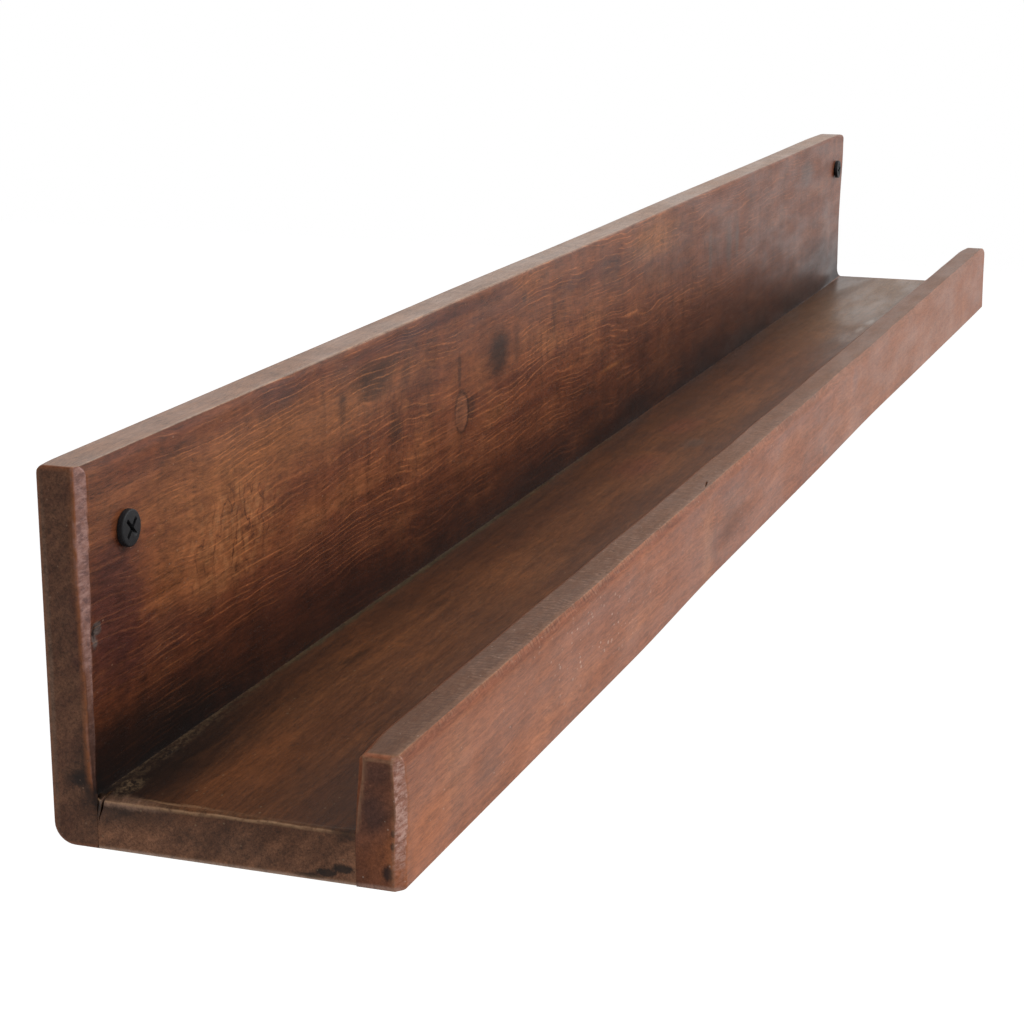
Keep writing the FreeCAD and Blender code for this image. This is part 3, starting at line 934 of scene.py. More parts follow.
# Back board: tall, worn most at the top of its two ends
backBoard = {
    "node": "back_board", "slot": "back_wood",
    "rounds": {(True, False): 6.0 * mm, (True, True): 1.3 * mm, (False, True): 1.5 * mm, (False, False): 0.0},
    "spacing": {
        "fine": 0.35 * mm, "growth": 1.3, "coarse": 2.4 * mm, "coarseAlong": 3.6 * mm,
        "extraUp": [height * mm for height in (14.8, 14.95, 15.2, 15.6, 16.2, 17.0, 18.0, 19.1)],
    },
    "look": {
        "grainLength": 230.0, "grainSpacing": 1.8, "grainBend": 14.0, "grainOffset": 11.0,
        "dark": tone(88, 45, 28), "mid": tone(114, 65, 40), "light": tone(140, 87, 54),
        "deep": tone(62, 30, 20),
        "cloudShare": 0.6, "fibreShare": 0.3, "gritShare": 0.3, "curlShare": 0.14,
        "thread": tone(180, 118, 74), "threadShare": 0.88, "nearThreads": 0.3, "farShare": 0.35,
        "pore": tone(46, 24, 16), "poreShare": 0.4,
        "endDark": tone(71, 43, 32), "endPale": tone(112, 77, 57),
        # painted shade with some grime, low on the front face towards the ledge
        "shadow": {"axis": 2, "dark": 7.0, "clear": 67.0, "share": 0.05, "ragged": 22.0,
                   "faceAxis": 1, "faceSign": -1},
        # chamfer colours: worn wood with a painted sheen and painted highlights on its ridges
        "chamfer": tone(144, 106, 96), "chamferDeep": tone(114, 85, 81), "chamferPale": tone(188, 148, 138),
        "ridgeScale": (0.28, 0.34, 0.42), "ridgeBump": 0.9,
        "topNear": tone(137, 102, 80), "topFar": tone(147, 118, 99),
        # the top edge colour is a painted highlight with some wear on the top front arris
        "topEdge": tone(160, 132, 112), "topEdgeReach": 2.2, "topEdgeShare": 0.7,
        "sawPale": tone(158, 110, 73), "sawDark": tone(56, 28, 19),
        "rub": tone(150, 91, 56), "rubShare": 0.75,
        "sawMarks": [(84, 64, 24, 13, -0.22, 9.0, 0.38, 0.9), (205, 64, 34, 22, -0.1, 13.0, 0.08, 0.5),
                     (380, 70, 50, 22, -0.1, 15.0, 0.08, 0.45), (540, 70, 90, 24, -0.1, 17.0, 0.08, 0.4)],
        "dust": tone(150, 120, 100), "dustShare": 0.35,
        "black": tone(26, 16, 12), "purple": tone(64, 33, 30), "gold": tone(152, 97, 56),
        "grey": tone(122, 75, 52),
        # a painted highlight on the rounded back edge of the end face has its own colour below
        "bluish": tone(84, 73, 69), "rose": tone(118, 75, 58), "endEdgeHighlight": tone(108, 82, 67),
        "bump": 0.4, "roughLow": 0.33, "roughHigh": 0.45, "specular": 0.14,
        "patches": [
            (760, 0, 70, 200, 8, 60, 0.6, 0.2, "rose", 0.35),
            (600, 0, 40, 140, 8, 34, 0.8, 0.3, "deep", 0.5),
            (115, 0, 84, 90, 6, 10, 0.8, 0.4, "gold", 0.4),
            (72, 0, 66, 36, 6, 14, 0.7, 0.5, "gold", 0.3),
            (14, 0, 60, 17, 6, 21, 0.5, 0.4, "purple", 0.8),
            (40, 0, 46, 16, 6, 7, 0.6, 0.6, "purple", 0.5),
            # painted shade with some dirt: dark low on the front, by the ledge near the end
            (22, 0, 20, 60, 6, 12, 0.6, 0.4, "black", 0.8),
            (118, 0, 97, 15, 6, 4, 0.7, 0.4, "purple", 0.5),
            (266, 0, 61.3, 7.3, 5, 7.8, 0.16, 0.07, "black", 0.7),
            (265.6, 0, 61.2, 6.0, 5, 6.5, 0.12, 0.07, "grey", 0.85),
            (256, 0, 58, 5, 5, 2.4, 0.5, 0.2, "grey", 0.5),
            (275.5, 0, 61, 3.5, 5, 4.5, 0.6, 0.2, "black", 0.55),
            (264, 0, 76, 1.6, 5, 7, 0.6, 0.3, "black", 0.5),
            (305, 0, 76, 10, 5, 8, 0.6, 0.2, "black", 0.8),
            (187, 0, 88, 15, 5, 6, 0.6, 0.4, "black", 0.7),
            (235, 0, 97, 55, 5, 1.6, 0.7, 0.4, "purple", 0.6),
            (150, 0, 40, 40, 6, 8, 0.8, 0.6, "purple", 0.4),
            (205, 0, 68, 5.5, 5, 6, 0.6, 0.4, "black", 0.6),
            (162, 0, 84, 2.5, 5, 5, 0.6, 0.4, "black", 0.45),
            (214, 0, 85, 4, 5, 4, 0.7, 0.4, "black", 0.4),
            (332, 0, 92, 3, 5, 1.6, 0.6, 0.4, "black", 0.5),
            (324, 0, 76, 2.5, 5, 6, 0.7, 0.3, "black", 0.3),
            (367, 0, 80, 3, 5, 8, 0.7, 0.3, "black", 0.45),
            (442, 0, 85, 12, 5, 6, 0.7, 0.3, "black", 0.35),
            (441, 0, 45, 14, 5, 0.8, 0.6, 0.2, "gold", 0.5),
            (505, 0, 91, 32, 5, 7, 0.7, 0.3, "gold", 0.5),
            (600, 0, 72, 3, 5, 10, 0.7, 0.3, "bluish", 0.5),
            (635, 0, 70, 5, 5, 9, 0.7, 0.3, "bluish", 0.5),
            (651, 0, 70, 3, 5, 8, 0.7, 0.3, "bluish", 0.5),
            (805, 0, 87, 14, 5, 6, 0.7, 0.3, "bluish", 0.5),
            (824, 0, 56, 4, 5, 2.5, 0.6, 0.3, "black", 0.35),
            # painted highlight along the rounded back edge of the near end face
            (0, 11.6, 50, 3, 0.9, 44, 0.5, 0.25, "endEdgeHighlight", 0.8),
            (0, 4, 19, 4, 4.5, 2.2, 0.7, 0.5, "black", 0.8),
            (0, 0, 15, 4, 1.0, 4.5, 0.7, 0.4, "black", 0.9),
            (4.9, 0, 58.6, 1.7, 3, 2.0, 0.4, 0.9, "bluish", 0.95),
            (3.8, 0, 56.2, 1.4, 2, 2.4, 0.4, 0.9, "bluish", 0.9),
            (4.0, 0, 57.4, 0.7, 2, 1.9, 0.4, 0.9, "black", 0.85),
        ],
    },
    # a waver is (seed, wavelengths), a pair is what smooth takes, an edge what ease or easeMore takes
    "wear": {
        "thick": 13.0 * mm, "topReach": 30 * mm, "ledgeTop": 14.8 * mm,
        "crown": 0.04 * mm, "crownWaver": (3.1, 50 * mm), "crownUp": (70 * mm, 100 * mm),
        "crownSteps": [(0.6 * mm, 290 * mm, 430 * mm), (0.5 * mm, 540 * mm, 760 * mm),
                       (0.6 * mm, 850 * mm, 900 * mm)],
        "hollow": 0.22 * mm, "hollowWaver": (7.7, 90 * mm, 28 * mm), "hollowFade": 4.6 * mm,
        "farHollow": 1.9 * mm, "farHollowAlong": (835 * mm, 900 * mm), "farHollowUp": (45 * mm, 98 * mm),
        "rough": 0.1 * mm, "roughWaver": (1.9, 30 * mm, 9 * mm),
        "wobbles": [(0.2, 5.3, 9 * mm), (0.1, 8.2, 2.5 * mm)],
        "climbFrom": 15 * mm, "climbOver": 85 * mm, "climbPower": 0.6, "cornerUp": (13 * mm, 20 * mm),
        "cornerLeast": 0.06 * mm, "cornerAlong": 0.9 * mm, "cornerAlongMore": 2.6 * mm,
        "cornerAcross": 1.4 * mm, "cornerAcrossMore": 1.1 * mm, "cornerSoft": 0.25 * mm,
        "cornerRubShare": 0.1, "cornerRub": 0.9 * mm, "chamferUp": (15 * mm, 18 * mm),
        "topBack": (0.3 * mm, 1.0 * mm, 5 * mm, 0.8 * mm, 0.2),
        "arris": 1.0 * mm, "arrisMore": 1.7 * mm, "arrisAlong": (20 * mm, 240 * mm), "arrisShare": 0.55,
        "arrisSoft": 0.2 * mm,
        "farDrop": 1.2 * mm, "farDropReach": 15 * mm, "farDropUp": (80 * mm, 100 * mm),
        "farTop": (2.6 * mm, 1.6 * mm, 1.6 * mm, (0.1, 0.1)),
        "farFront": (0.2 * mm, 3.6 * mm, 17 * mm, 1.2 * mm, 0.1),
        "endWidths": (0.6 * mm, 0.1 * mm), "endSofts": (0.35 * mm, 0.05 * mm), "endRub": 0.55,
        "chip": {"depth": 1.0 * mm, "up": 57.4 * mm, "reachUp": 1.9 * mm, "along": 4.0 * mm,
                 "reachAlong": 1.6 * mm, "reachAcross": 4 * mm},
        "crack": {"depth": 0.8 * mm, "up": 14.5 * mm, "reachUp": 3.0 * mm, "gap": 0.2 * mm,
                  "reachGap": 0.7 * mm, "reachEnd": 3 * mm},
    },
}


def backWear(point, form):
    along, up, end = point.along, point.up, point.gap["end"]
    # the crown is uneven, and lower towards the far end
    if point.gap["top"] < form["topReach"]:
        crown = form["crown"] * (1 + waver(form["crownWaver"], along)) + stepsAlong(along, form["crownSteps"])
        point.sink("top", crown * smooth(up, *form["crownUp"]))
    # the front is slightly hollow in places, but flat where the ledge meets it
    hollow = form["hollow"] * (1 + waver(form["hollowWaver"], along, up))
    farShare = smooth(along, *form["farHollowAlong"]) * (1 - smooth(up, *form["farHollowUp"]))
    hollow += form["farHollow"] * farShare
    clear = max(0.0, min(1.0, (up - form["ledgeTop"]) / form["hollowFade"]))
    point.sink("front", hollow * point.gap["back"] / form["thick"] * math.sqrt(1 - (1 - clear) ** 2))
    point.roughenEnd(form["rough"], form["roughWaver"], up, point.gap["front"])
    # the end corners are worn away, more towards the top
    climb = max(0.0, (up - form["climbFrom"]) / form["climbOver"])
    free = smooth(up, *form["cornerUp"])
    share = wobbled(up, form["wobbles"], point.side) * free
    widthAlong = (form["cornerAlong"] + form["cornerAlongMore"] * climb) * share
    widthAcross = (form["cornerAcross"] + form["cornerAcrossMore"] * climb ** form["climbPower"]) * share
    least = form["cornerLeast"]
    point.ease("end", "front", least + widthAlong, least + widthAcross, form["cornerSoft"],
               (free, form["cornerRubShare"]), form["cornerRub"], asChamfer=True)
    point.easeMore("top", "back", end, *form["topBack"])
    arris = form["arris"] + form["arrisMore"] * (1 - smooth(along, *form["arrisAlong"]))
    point.ease("top", "front", arris, form["arrisShare"] * arris, form["arrisSoft"], (0.0, 0.0))
    if point.side > 0:
        if point.gap["top"] < form["topReach"]:
            drop = form["farDrop"] * max(0.0, 1 - end / form["farDropReach"]) ** 2
            point.sink("top", drop * smooth(up, *form["farDropUp"]))
        point.ease("end", "top", *form["farTop"])
        point.easeMore("top", "front", end, *form["farFront"])
    glued = point.meeting("front", free)
    point.easeEnd(blend(*form["endWidths"], glued), blend(*form["endSofts"], glued),
                  form["endRub"] * (1 - glued))
    # a chip in the near end's worn corner, and the open crack where the ledge meets it
    if point.side < 0:
        chip = form["chip"]
        near = bell(point.gap["end"], chip["along"], chip["reachAlong"])
        near *= bell(up, chip["up"], chip["reachUp"]) * bell(point.gap["front"], 0, chip["reachAcross"])
        point.sink("front", chip["depth"] * near)
        point.openCrack("front", end, form["crack"])
    point.chamfer *= smooth(up, *form["chamferUp"])


backPiece = makeBoard(backBoard, backWear)


# How the underside of the ledge and the lip bows up, from the near end
underBow = {
    "steps": [(1.65 * mm, 195 * mm, 300 * mm), (-1.0 * mm, 650 * mm, 900 * mm)],
    "hump": 0.75 * mm, "humpAlong": 575 * mm, "humpReach": 75 * mm,
}


def underRise(along):
    hump = underBow["hump"] * bell(along, underBow["humpAlong"], underBow["humpReach"])
    return stepsAlong(along, underBow["steps"]) + hump


# Ledge: flat, dusty along the inner corner and darkened there by painted shade and dirt
ledgeBoard = {
    "node": "shelf_board", "slot": "ledge_wood",
    "rounds": {(True, False): 0.0, (True, True): 0.0, (False, True): 0.0, (False, False): 0.0},
    "spacing": {"fine": 0.4 * mm, "growth": 1.35, "coarse": 2.4 * mm, "coarseAlong": 3.6 * mm},
    "look": {
        "grainLength": 200.0, "grainSpacing": 3.1, "grainBend": 10.0, "grainOffset": 431.0,
        "dark": tone(85, 50, 29), "mid": tone(103, 64, 37), "light": tone(127, 77, 42),
        "deep": tone(65, 37, 22),
        "cloudShare": 0.5, "fibreShare": 0.3, "gritShare": 0.34, "curlShare": 0.06,
        "thread": tone(131, 87, 52), "threadShare": 0.3, "nearThreads": 1.0, "farShare": 0.5,
        "pore": tone(40, 24, 15), "poreShare": 0.35,
        "endDark": tone(77, 48, 33), "endPale": tone(137, 94, 69),
        # painted shade with some grime on the top, darker towards the back board
        "shadow": {"axis": 1, "dark": 78.0, "clear": 38.0, "share": 0.38, "ragged": 10.0,
                   "faceAxis": 2, "faceSign": 1},
        "rub": tone(178, 140, 106), "rubShare": 0.95,
        "dust": tone(160, 140, 110), "dustShare": 0.3,
        "black": tone(24, 14, 8), "orange": tone(125, 73, 39), "dusty": tone(128, 107, 82),
        "red": tone(111, 59, 39), "bluish": tone(81, 65, 55), "white": tone(176, 162, 150),
        "sand": tone(125, 97, 68), "edge": tone(142, 110, 92), "grey": tone(91, 81, 57),
        # the rim colour is a painted highlight on the lower end arris
        "rim": tone(172, 150, 141),
        "bump": 0.4, "roughLow": 0.3, "roughHigh": 0.44, "specular": 0.16,
        "patches": [
            (840, 34, 14.8, 130, 40, 6, 0.8, 0.2, "sand", 0.6),
            (8, 26, 14.8, 60, 40, 6, 0.9, 0.3, "deep", 0.65),
            (34, 47, 14.8, 26, 5, 5, 0.9, 0.5, "orange", 0.4),
            (27, 38, 14.8, 16, 5, 5, 0.9, 0.4, "orange", 0.3),
            # painted shade with some dirt: dark in the inner corner near the end, by the back board
            (15, 66, 14.8, 75, 12, 6, 0.9, 0.12, "black", 0.88),
            (128, 55, 14.8, 9, 1.6, 3, 0.6, 0.3, "black", 0.6),
            (190, 51, 14.8, 5, 1.2, 3, 0.6, 0.3, "black", 0.4),
            (277, 56, 14.8, 6, 3, 3, 0.7, 0.3, "black", 0.3),
            (393, 46, 14.8, 18, 8, 5, 0.7, 0.3, "red", 0.5),
            (472, 50, 14.8, 14, 7, 5, 0.7, 0.3, "red", 0.5),
            (442, 36, 14.8, 8, 4, 5, 0.7, 0.3, "bluish", 0.6),
            (727, 25, 14.8, 7, 1.6, 3, 0.7, 0.3, "white", 0.45),
            (750, 24, 14.8, 7, 1.6, 3, 0.7, 0.3, "white", 0.45),
            (240, 72.0, 14.8, 150, 1.5, 2, 0.6, 0.7, "grey", 0.9),
            (170, 72.4, 14.8, 330, 1.0, 2, 0.6, 0.5, "dusty", 0.6),
            (9, 67.5, 14.8, 6, 2.2, 3, 0.8, 0.9, "dusty", 0.95),
            (40, 70, 14.8, 36, 1.6, 3, 0.9, 0.9, "dusty", 0.5),
            (2, 71.6, 14.8, 6, 1.2, 2, 0.6, 0.4, "black", 0.95),
            (0, 64, 13.6, 3, 9, 1.1, 0.8, 0.6, "edge", 0.85),
            (450, 36, 0.0, 600, 60, 0.9, 0.4, 0.2, "edge", 0.25),
            # painted highlight: a pale line along the lower arris of the near end
            (0, 36, 0.2, 3, 60, 0.8, 0.5, 0.1, "rim", 0.6),
            (0, 4, 4.2, 4, 3, 1.2, 0.4, 0.5, "black", 0.9),
            (0, 8, 2.7, 4, 3.5, 1.0, 0.4, 0.5, "black", 0.9),
            (0, 13, 1.3, 4, 4, 0.7, 0.5, 0.5, "black", 0.8),
            (0, 36, 5, 4, 14, 4, 0.8, 0.6, "black", 0.3),
            (0, 72.5, 13, 4, 0.9, 4.5, 0.6, 0.5, "black", 0.9),
            (0, 2, 13.5, 4, 4, 1.6, 0.8, 0.5, "black", 0.6),
        ],
    },
    "wear": {
        "thick": 14.8 * mm, "topReach": 1 * mm,
        "dip": 0.18 * mm, "dipWaver": (12.1, 80 * mm, 22 * mm), "dipFade": (1 * mm, 6 * mm),
        "dipAlong": (720 * mm, 860 * mm),
        "rough": 0.15 * mm, "roughWaver": (4.4, 16 * mm, 7 * mm),
        "wobbles": [(0.35, 9.3, 10 * mm), (0.2, 6.6, 3 * mm)], "farShare": 0.15,
        "edgeAlong": 1.3 * mm, "edgeDown": 0.8 * mm, "edgeSoft": 0.2 * mm, "edgeRub": 0.6 * mm,
        "lineFrom": (5 * mm, 9 * mm), "lineLeast": 0.1, "lineShare": 0.1,
        "foot": (0.7 * mm, 0.6 * mm, 0.3 * mm, (0.5, 0.5)),
        "splinter": {"depth": 0.4 * mm, "across": 50 * mm, "reach": 13 * mm, "width": 2.1 * mm,
                     "ragged": [(1.2 * mm, (51.3, 6 * mm)), (0.6 * mm, (52.6, 1.5 * mm))],
                     "soft": 0.5 * mm, "topReach": 2 * mm, "rub": 0.6},
        "crack": {"depth": 0.9 * mm, "up": 13.5 * mm, "reachUp": 3.0 * mm, "gap": 0.1 * mm,
                  "reachGap": 0.6 * mm, "reachEnd": 3 * mm},
    },
    "crack": {
        "along": 5.0 * mm, "width": 0.8 * mm, "length": 9.0 * mm, "inset": 1.5 * mm, "lean": 15,
        "sliceShare": 0.3, "leastShare": 0.05, "taperShare": 0.5, "bend": 0.12 * mm, "bendTurn": 9,
        "sunkShare": 0.35,
    },
}


def splitSplinter(point, across, spec):
    # a long thin splinter has come off the top behind the near edge
    width = spec["width"] + sum(size * waver(ragged, across) for size, ragged in spec["ragged"])
    strength = bell(across, spec["across"], spec["reach"])
    if point.gap["top"] < spec["topReach"]:
        gone = 1 - smooth(point.gap["end"], width, width + spec["soft"])
        point.sink("top", spec["depth"] * strength * gone)
    near = max(0.0, 1 - abs(point.gap["end"] - width) / spec["soft"])
    point.rub = max(point.rub, spec["rub"] * near * strength)


def ledgeWear(point, form):
    along, front = point.along, point.gap["front"]
    if point.gap["top"] < form["topReach"]:
        dip = form["dip"] * (1 + waver(form["dipWaver"], along, front))
        dip *= 1 - smooth(along, *form["dipAlong"])
        clear = smooth(front, *form["dipFade"]) * smooth(point.gap["back"], *form["dipFade"])
        point.sink("top", dip * clear)
    point.sink("foot", underRise(along) * (1 - point.up / form["thick"]))
    point.roughenEnd(form["rough"], form["roughWaver"], front, point.up)
    share = wobbled(front, form["wobbles"], point.side) if point.side < 0 else form["farShare"]
    line = blend(form["lineLeast"], 1.0, smooth(front, *form["lineFrom"]))
    point.ease("end", "top", form["edgeAlong"] * share, form["edgeDown"] * share, form["edgeSoft"],
               (line, form["lineShare"] * line), form["edgeRub"])
    if point.side < 0:
        splitSplinter(point, front, form["splinter"])
    point.ease("end", "foot", *form["foot"])
    if point.side < 0:
        point.openCrack("back", point.gap["end"], form["crack"])


ledgePiece = makeBoard(ledgeBoard, ledgeWear)


def crackCutter(spec):
    # the open crack in the ledge's near inner corner
    low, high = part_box("shelf_board")
    bm = cubeOf((spec["along"] * 2, spec["width"], spec["length"]))
    cut = spec["sliceShare"] * spec["length"]
    sliceAt(bm, [-cut, 0.0, cut], 2)
    for vert in bm.verts:
        share = 0.5 - vert.co.z / spec["length"]
        vert.co.y *= max(spec["leastShare"], 1 - share ** 2)
        vert.co.x *= 1 - spec["taperShare"] * share
        vert.co.y += spec["bend"] * math.sin(share * spec["bendTurn"])
    turnShape(bm, spec["lean"], "X")
    place = (low.x, high.y - spec["inset"], high.z - spec["sunkShare"] * spec["length"])
    bmesh.ops.translate(bm, verts=bm.verts, vec=place)
    return looseObject(bm, "crackCutter")


cutAway(ledgePiece, crackCutter(ledgeBoard["crack"]))


# Lip: low, lighter and redder, with wide worn corners at its ends
lipBoard = {
    "node": "front_lip", "slot": "lip_wood",
    "rounds": {(True, False): 0.0, (True, True): 1.3 * mm, (False, True): 1.2 * mm, (False, False): 0.6 * mm},
    "spacing": {"fine": 0.35 * mm, "growth": 1.25, "coarse": 1.8 * mm, "coarseAlong": 3.6 * mm},
    "look": {
        "grainLength": 180.0, "grainSpacing": 2.9, "grainBend": 10.0, "grainOffset": 877.0,
        "dark": tone(127, 75, 52), "mid": tone(142, 87, 61), "light": tone(158, 101, 73),
        "deep": tone(111, 65, 46),
        "cloudShare": 0.8, "fibreShare": 0.2, "gritShare": 0.24, "curlShare": 0.07,
        "thread": tone(177, 124, 90), "threadShare": 0.3, "nearThreads": 0.4, "farShare": 0.4,
        "pore": tone(82, 48, 35), "poreShare": 0.35,
        "endDark": tone(72, 43, 33), "endPale": tone(115, 72, 54),
        # chamfer colours: worn wood with a painted sheen and painted highlights on its ridges
        "chamfer": tone(150, 106, 91), "chamferDeep": tone(123, 82, 67), "chamferPale": tone(196, 160, 148),
        "ridgeScale": (0.45, 0.5, 0.75), "ridgeBump": 1.4,
        "sawMarks": [(140, 36, 115, 2, 0.0, 2.3, 0.4, 0.7), (340, 36, 170, 2, 0.0, 3.2, 0.3, 0.5)],
        "topNear": tone(90, 61, 43), "topFar": tone(109, 74, 52),
        # the top edge colour is a painted highlight with some wear on the top front arris
        "topEdge": tone(122, 87, 66), "topEdgeReach": 3.0, "topEdgeShare": 0.75,
        "sawPale": tone(150, 118, 98), "sawDark": tone(66, 45, 33),
        "rub": tone(172, 129, 98), "rubShare": 0.75,
        "dust": tone(205, 186, 170), "dustShare": 0.25,
        "black": tone(58, 38, 31), "under": tone(112, 61, 43), "orange": tone(167, 97, 56),
        "ink": tone(34, 24, 24), "specks": tone(216, 196, 180), "warm": tone(146, 87, 54),
        "mist": tone(121, 85, 69), "bluish": tone(115, 87, 85), "smoke": tone(53, 38, 37),
        # the rim colour is a painted highlight on the lower end arris
        "band": tone(160, 110, 81), "calm": tone(141, 97, 76), "rim": tone(166, 136, 122),
        "bump": 0.35, "roughLow": 0.36, "roughHigh": 0.48, "specular": 0.12,
        "patches": [
            (14, 0, 10, 20, 5, 9, 0.7, 0.3, "orange", 0.6),
            (38, 0, 20, 9, 5, 12, 0.8, 0.3, "band", 0.35),
            (62, 0, 11, 8, 4, 5, 0.8, 0.5, "black", 0.45),
            (286, 0, 12, 6, 4, 18, 0.9, 0.6, "band", 0.4),
            (296, 0, 16, 3, 4, 9, 0.9, 0.7, "black", 0.2),
            (318, 0, 18, 17, 4, 9, 0.9, 0.7, "black", 0.4),
            (160, 0, 24, 30, 4, 5, 0.9, 0.6, "bluish", 0.25),
            (120, 0, 33.9, 170, 1.6, 1.1, 0.6, 0.3, "under", 0.7),
            (150, 0, 20, 50, 4, 10, 0.8, 0.5, "specks", 0.45),
            (90, 0, 14, 100, 5, 20, 0.9, 0.3, "warm", 0.4),
            (700, 1, 34.5, 260, 3, 2.6, 0.5, 0.1, "mist", 0.7),
            (0, 6, 6, 2, 6, 6, 0.9, 0.5, "orange", 0.25),
            (0, 7.5, 20, 2, 4, 4, 0.8, 0.5, "smoke", 0.6),
            (0, 7, 31, 2, 4, 2.5, 0.8, 0.5, "smoke", 0.4),
            (476, 0, 8, 3, 4, 2, 0.6, 0.3, "black", 0.4),
            (536, 0, 26, 5, 4, 6, 0.7, 0.3, "bluish", 0.5),
            (700, 0, 18, 200, 5, 30, 0.9, 0.2, "calm", 0.6),
            # painted highlight: a pale line along the lower arris of the near end
            (0, 6, 0.3, 3, 9, 0.9, 0.5, 0.1, "rim", 0.6),
            (0, 4.0, 4.6, 3, 1.4, 2.2, 0.5, 0.5, "ink", 0.9),
            (0, 2.4, 12, 3, 0.6, 1.1, 0.5, 0.4, "ink", 0.85),
            (0, 2.3, 15.5, 3, 0.6, 0.9, 0.5, 0.4, "ink", 0.85),
        ],
    },
    "wear": {
        "thick": 12.5 * mm,
        "crown": 0.3 * mm, "crownWaver": (21.2, 60 * mm), "crownAlong": (600 * mm, 740 * mm),
        "crownUp": (20 * mm, 35 * mm), "bowUp": (0.0, 25 * mm),
        "thin": 0.35 * mm, "thinWaver": (31.7, 38 * mm), "thinRagged": 1.6, "thinFrom": (6 * mm, 12 * mm),
        "thinUp": (22 * mm, 35 * mm),
        "hollow": 0.06 * mm, "hollowWaver": (17.7, 80 * mm, 20 * mm), "hollowUp": (0.0, 8 * mm),
        "rough": 0.1 * mm, "roughWaver": (14.9, 12 * mm, 6 * mm),
        "wobbles": [(0.2, 15.3, 8 * mm), (0.1, 18.2, 2.5 * mm)], "farShare": 0.15,
        "middleUp": 21 * mm, "middleReach": 9 * mm, "cornerAlong": 3.0 * mm, "cornerAlongMore": 2.0 * mm,
        "cornerAcross": 2.6 * mm, "cornerAcrossMore": -1.1 * mm, "cornerSoft": 0.25 * mm,
        "cornerRubs": (0.5, 0.1), "chamferLeast": 0.25, "chamferUp": (3 * mm, 11 * mm),
        "arris": 3.2 * mm, "arrisRagged": 0.15, "arrisWaver": (41.3, 30 * mm), "arrisShare": 0.45,
        "arrisSoft": 0.15 * mm, "arrisRub": 0.5 * mm,
        "shine": 0.6, "shineWaver": (43.7, 14 * mm), "shineEdge": (-0.25, 0.35), "shineLost": 0.85,
        "shineAlong": (150 * mm, 600 * mm),
        "topBack": (1.1 * mm, 1.8 * mm, 13 * mm, 0.6 * mm, 0.1),
        "climbUp": (14 * mm, 35 * mm), "freeUp": (13 * mm, 17 * mm),
        "innerWidths": (0.1 * mm, 0.6 * mm), "innerAlongMore": 2.4 * mm, "innerAcrossMore": 2.0 * mm,
        "innerSofts": (0.06 * mm, 0.3 * mm), "innerRubs": (0.7, 0.3),
        "nearTop": (1.7 * mm, 1.5 * mm, 0.9 * mm, (0.7, 0.3)),
        "farTop": (2.4 * mm, 0.7 * mm, 0.8 * mm, (0.1, 0.1)),
        "farFoot": (2.0 * mm, 1.6 * mm, 0.6 * mm, (0.1, 0.1)),
        "endWidths": (0.3 * mm, 0.1 * mm), "endSofts": (0.2 * mm, 0.05 * mm), "endRub": 0.15,
    },
    "split": {
        "along": 293 * mm, "across": 2.9 * mm, "down": 0.4 * mm, "length": 9 * mm, "width": 0.8 * mm,
        "depth": 0.8 * mm, "turn": 12, "sliceShare": 0.25, "leastShare": 0.12, "tipDepthShare": 0.4,
    },
}


def lipWear(point, form):
    along, up = point.along, point.up
    # the crown, the back and the front are slightly uneven
    crown = form["crown"] * (1 + waver(form["crownWaver"], along)) * (1 - smooth(along, *form["crownAlong"]))
    point.sink("top", crown * smooth(up, *form["crownUp"]))
    point.sink("foot", underRise(along) * (1 - smooth(up, *form["bowUp"])))
    thin = form["thin"] * (1 + form["thinRagged"] * waver(form["thinWaver"], along))
    thin *= smooth(point.gap["front"], *form["thinFrom"])
    point.sink("back", max(0.0, thin) * smooth(up, *form["thinUp"]))
    hollow = form["hollow"] * (1 + waver(form["hollowWaver"], along, up))
    point.sink("front", hollow * point.gap["back"] / form["thick"] * smooth(up, *form["hollowUp"]))
    point.roughenEnd(form["rough"], form["roughWaver"], up, point.gap["front"])
    # the end corners are worn away, longest in their middle
    middle = bell(up, form["middleUp"], form["middleReach"])
    share = wobbled(up, form["wobbles"], point.side) * (1.0 if point.side < 0 else form["farShare"])
    widthAlong = (form["cornerAlong"] + form["cornerAlongMore"] * middle) * share
    widthAcross = (form["cornerAcross"] + form["cornerAcrossMore"] * middle) * share
    point.ease("end", "front", widthAlong, widthAcross, form["cornerSoft"], form["cornerRubs"],
               asChamfer=True)
    # the front arris is broad and has a painted shine in places, the back one widens towards the ends
    arris = form["arris"] * (1 + form["arrisRagged"] * waver(form["arrisWaver"], along))
    shine = form["shine"] * smooth(waver(form["shineWaver"], along), *form["shineEdge"])
    shine *= 1 - form["shineLost"] * smooth(along, *form["shineAlong"])
    point.ease("top", "front", arris, form["arrisShare"] * arris, form["arrisSoft"], (shine, 0.0),
               form["arrisRub"])
    point.easeMore("top", "back", point.gap["end"], *form["topBack"])
    # the inner end corners stay sharp below, where the ledge is glued on
    climb = smooth(up, *form["climbUp"])
    free = smooth(up, *form["freeUp"])
    inner = blend(*form["innerWidths"], free)
    point.ease("end", "back", inner + form["innerAlongMore"] * climb, inner + form["innerAcrossMore"] * climb,
               blend(*form["innerSofts"], free), [rub * free for rub in form["innerRubs"]])
    if point.side < 0:
        point.ease("end", "top", *form["nearTop"])
    else:
        point.ease("end", "top", *form["farTop"])
        point.ease("end", "foot", *form["farFoot"])
    glued = point.meeting("back", free)
    point.easeEnd(blend(*form["endWidths"], glued), blend(*form["endSofts"], glued), form["endRub"] * free)
    point.chamfer *= blend(form["chamferLeast"], 1.0, smooth(up, *form["chamferUp"]))


lipPiece = makeBoard(lipBoard, lipWear)


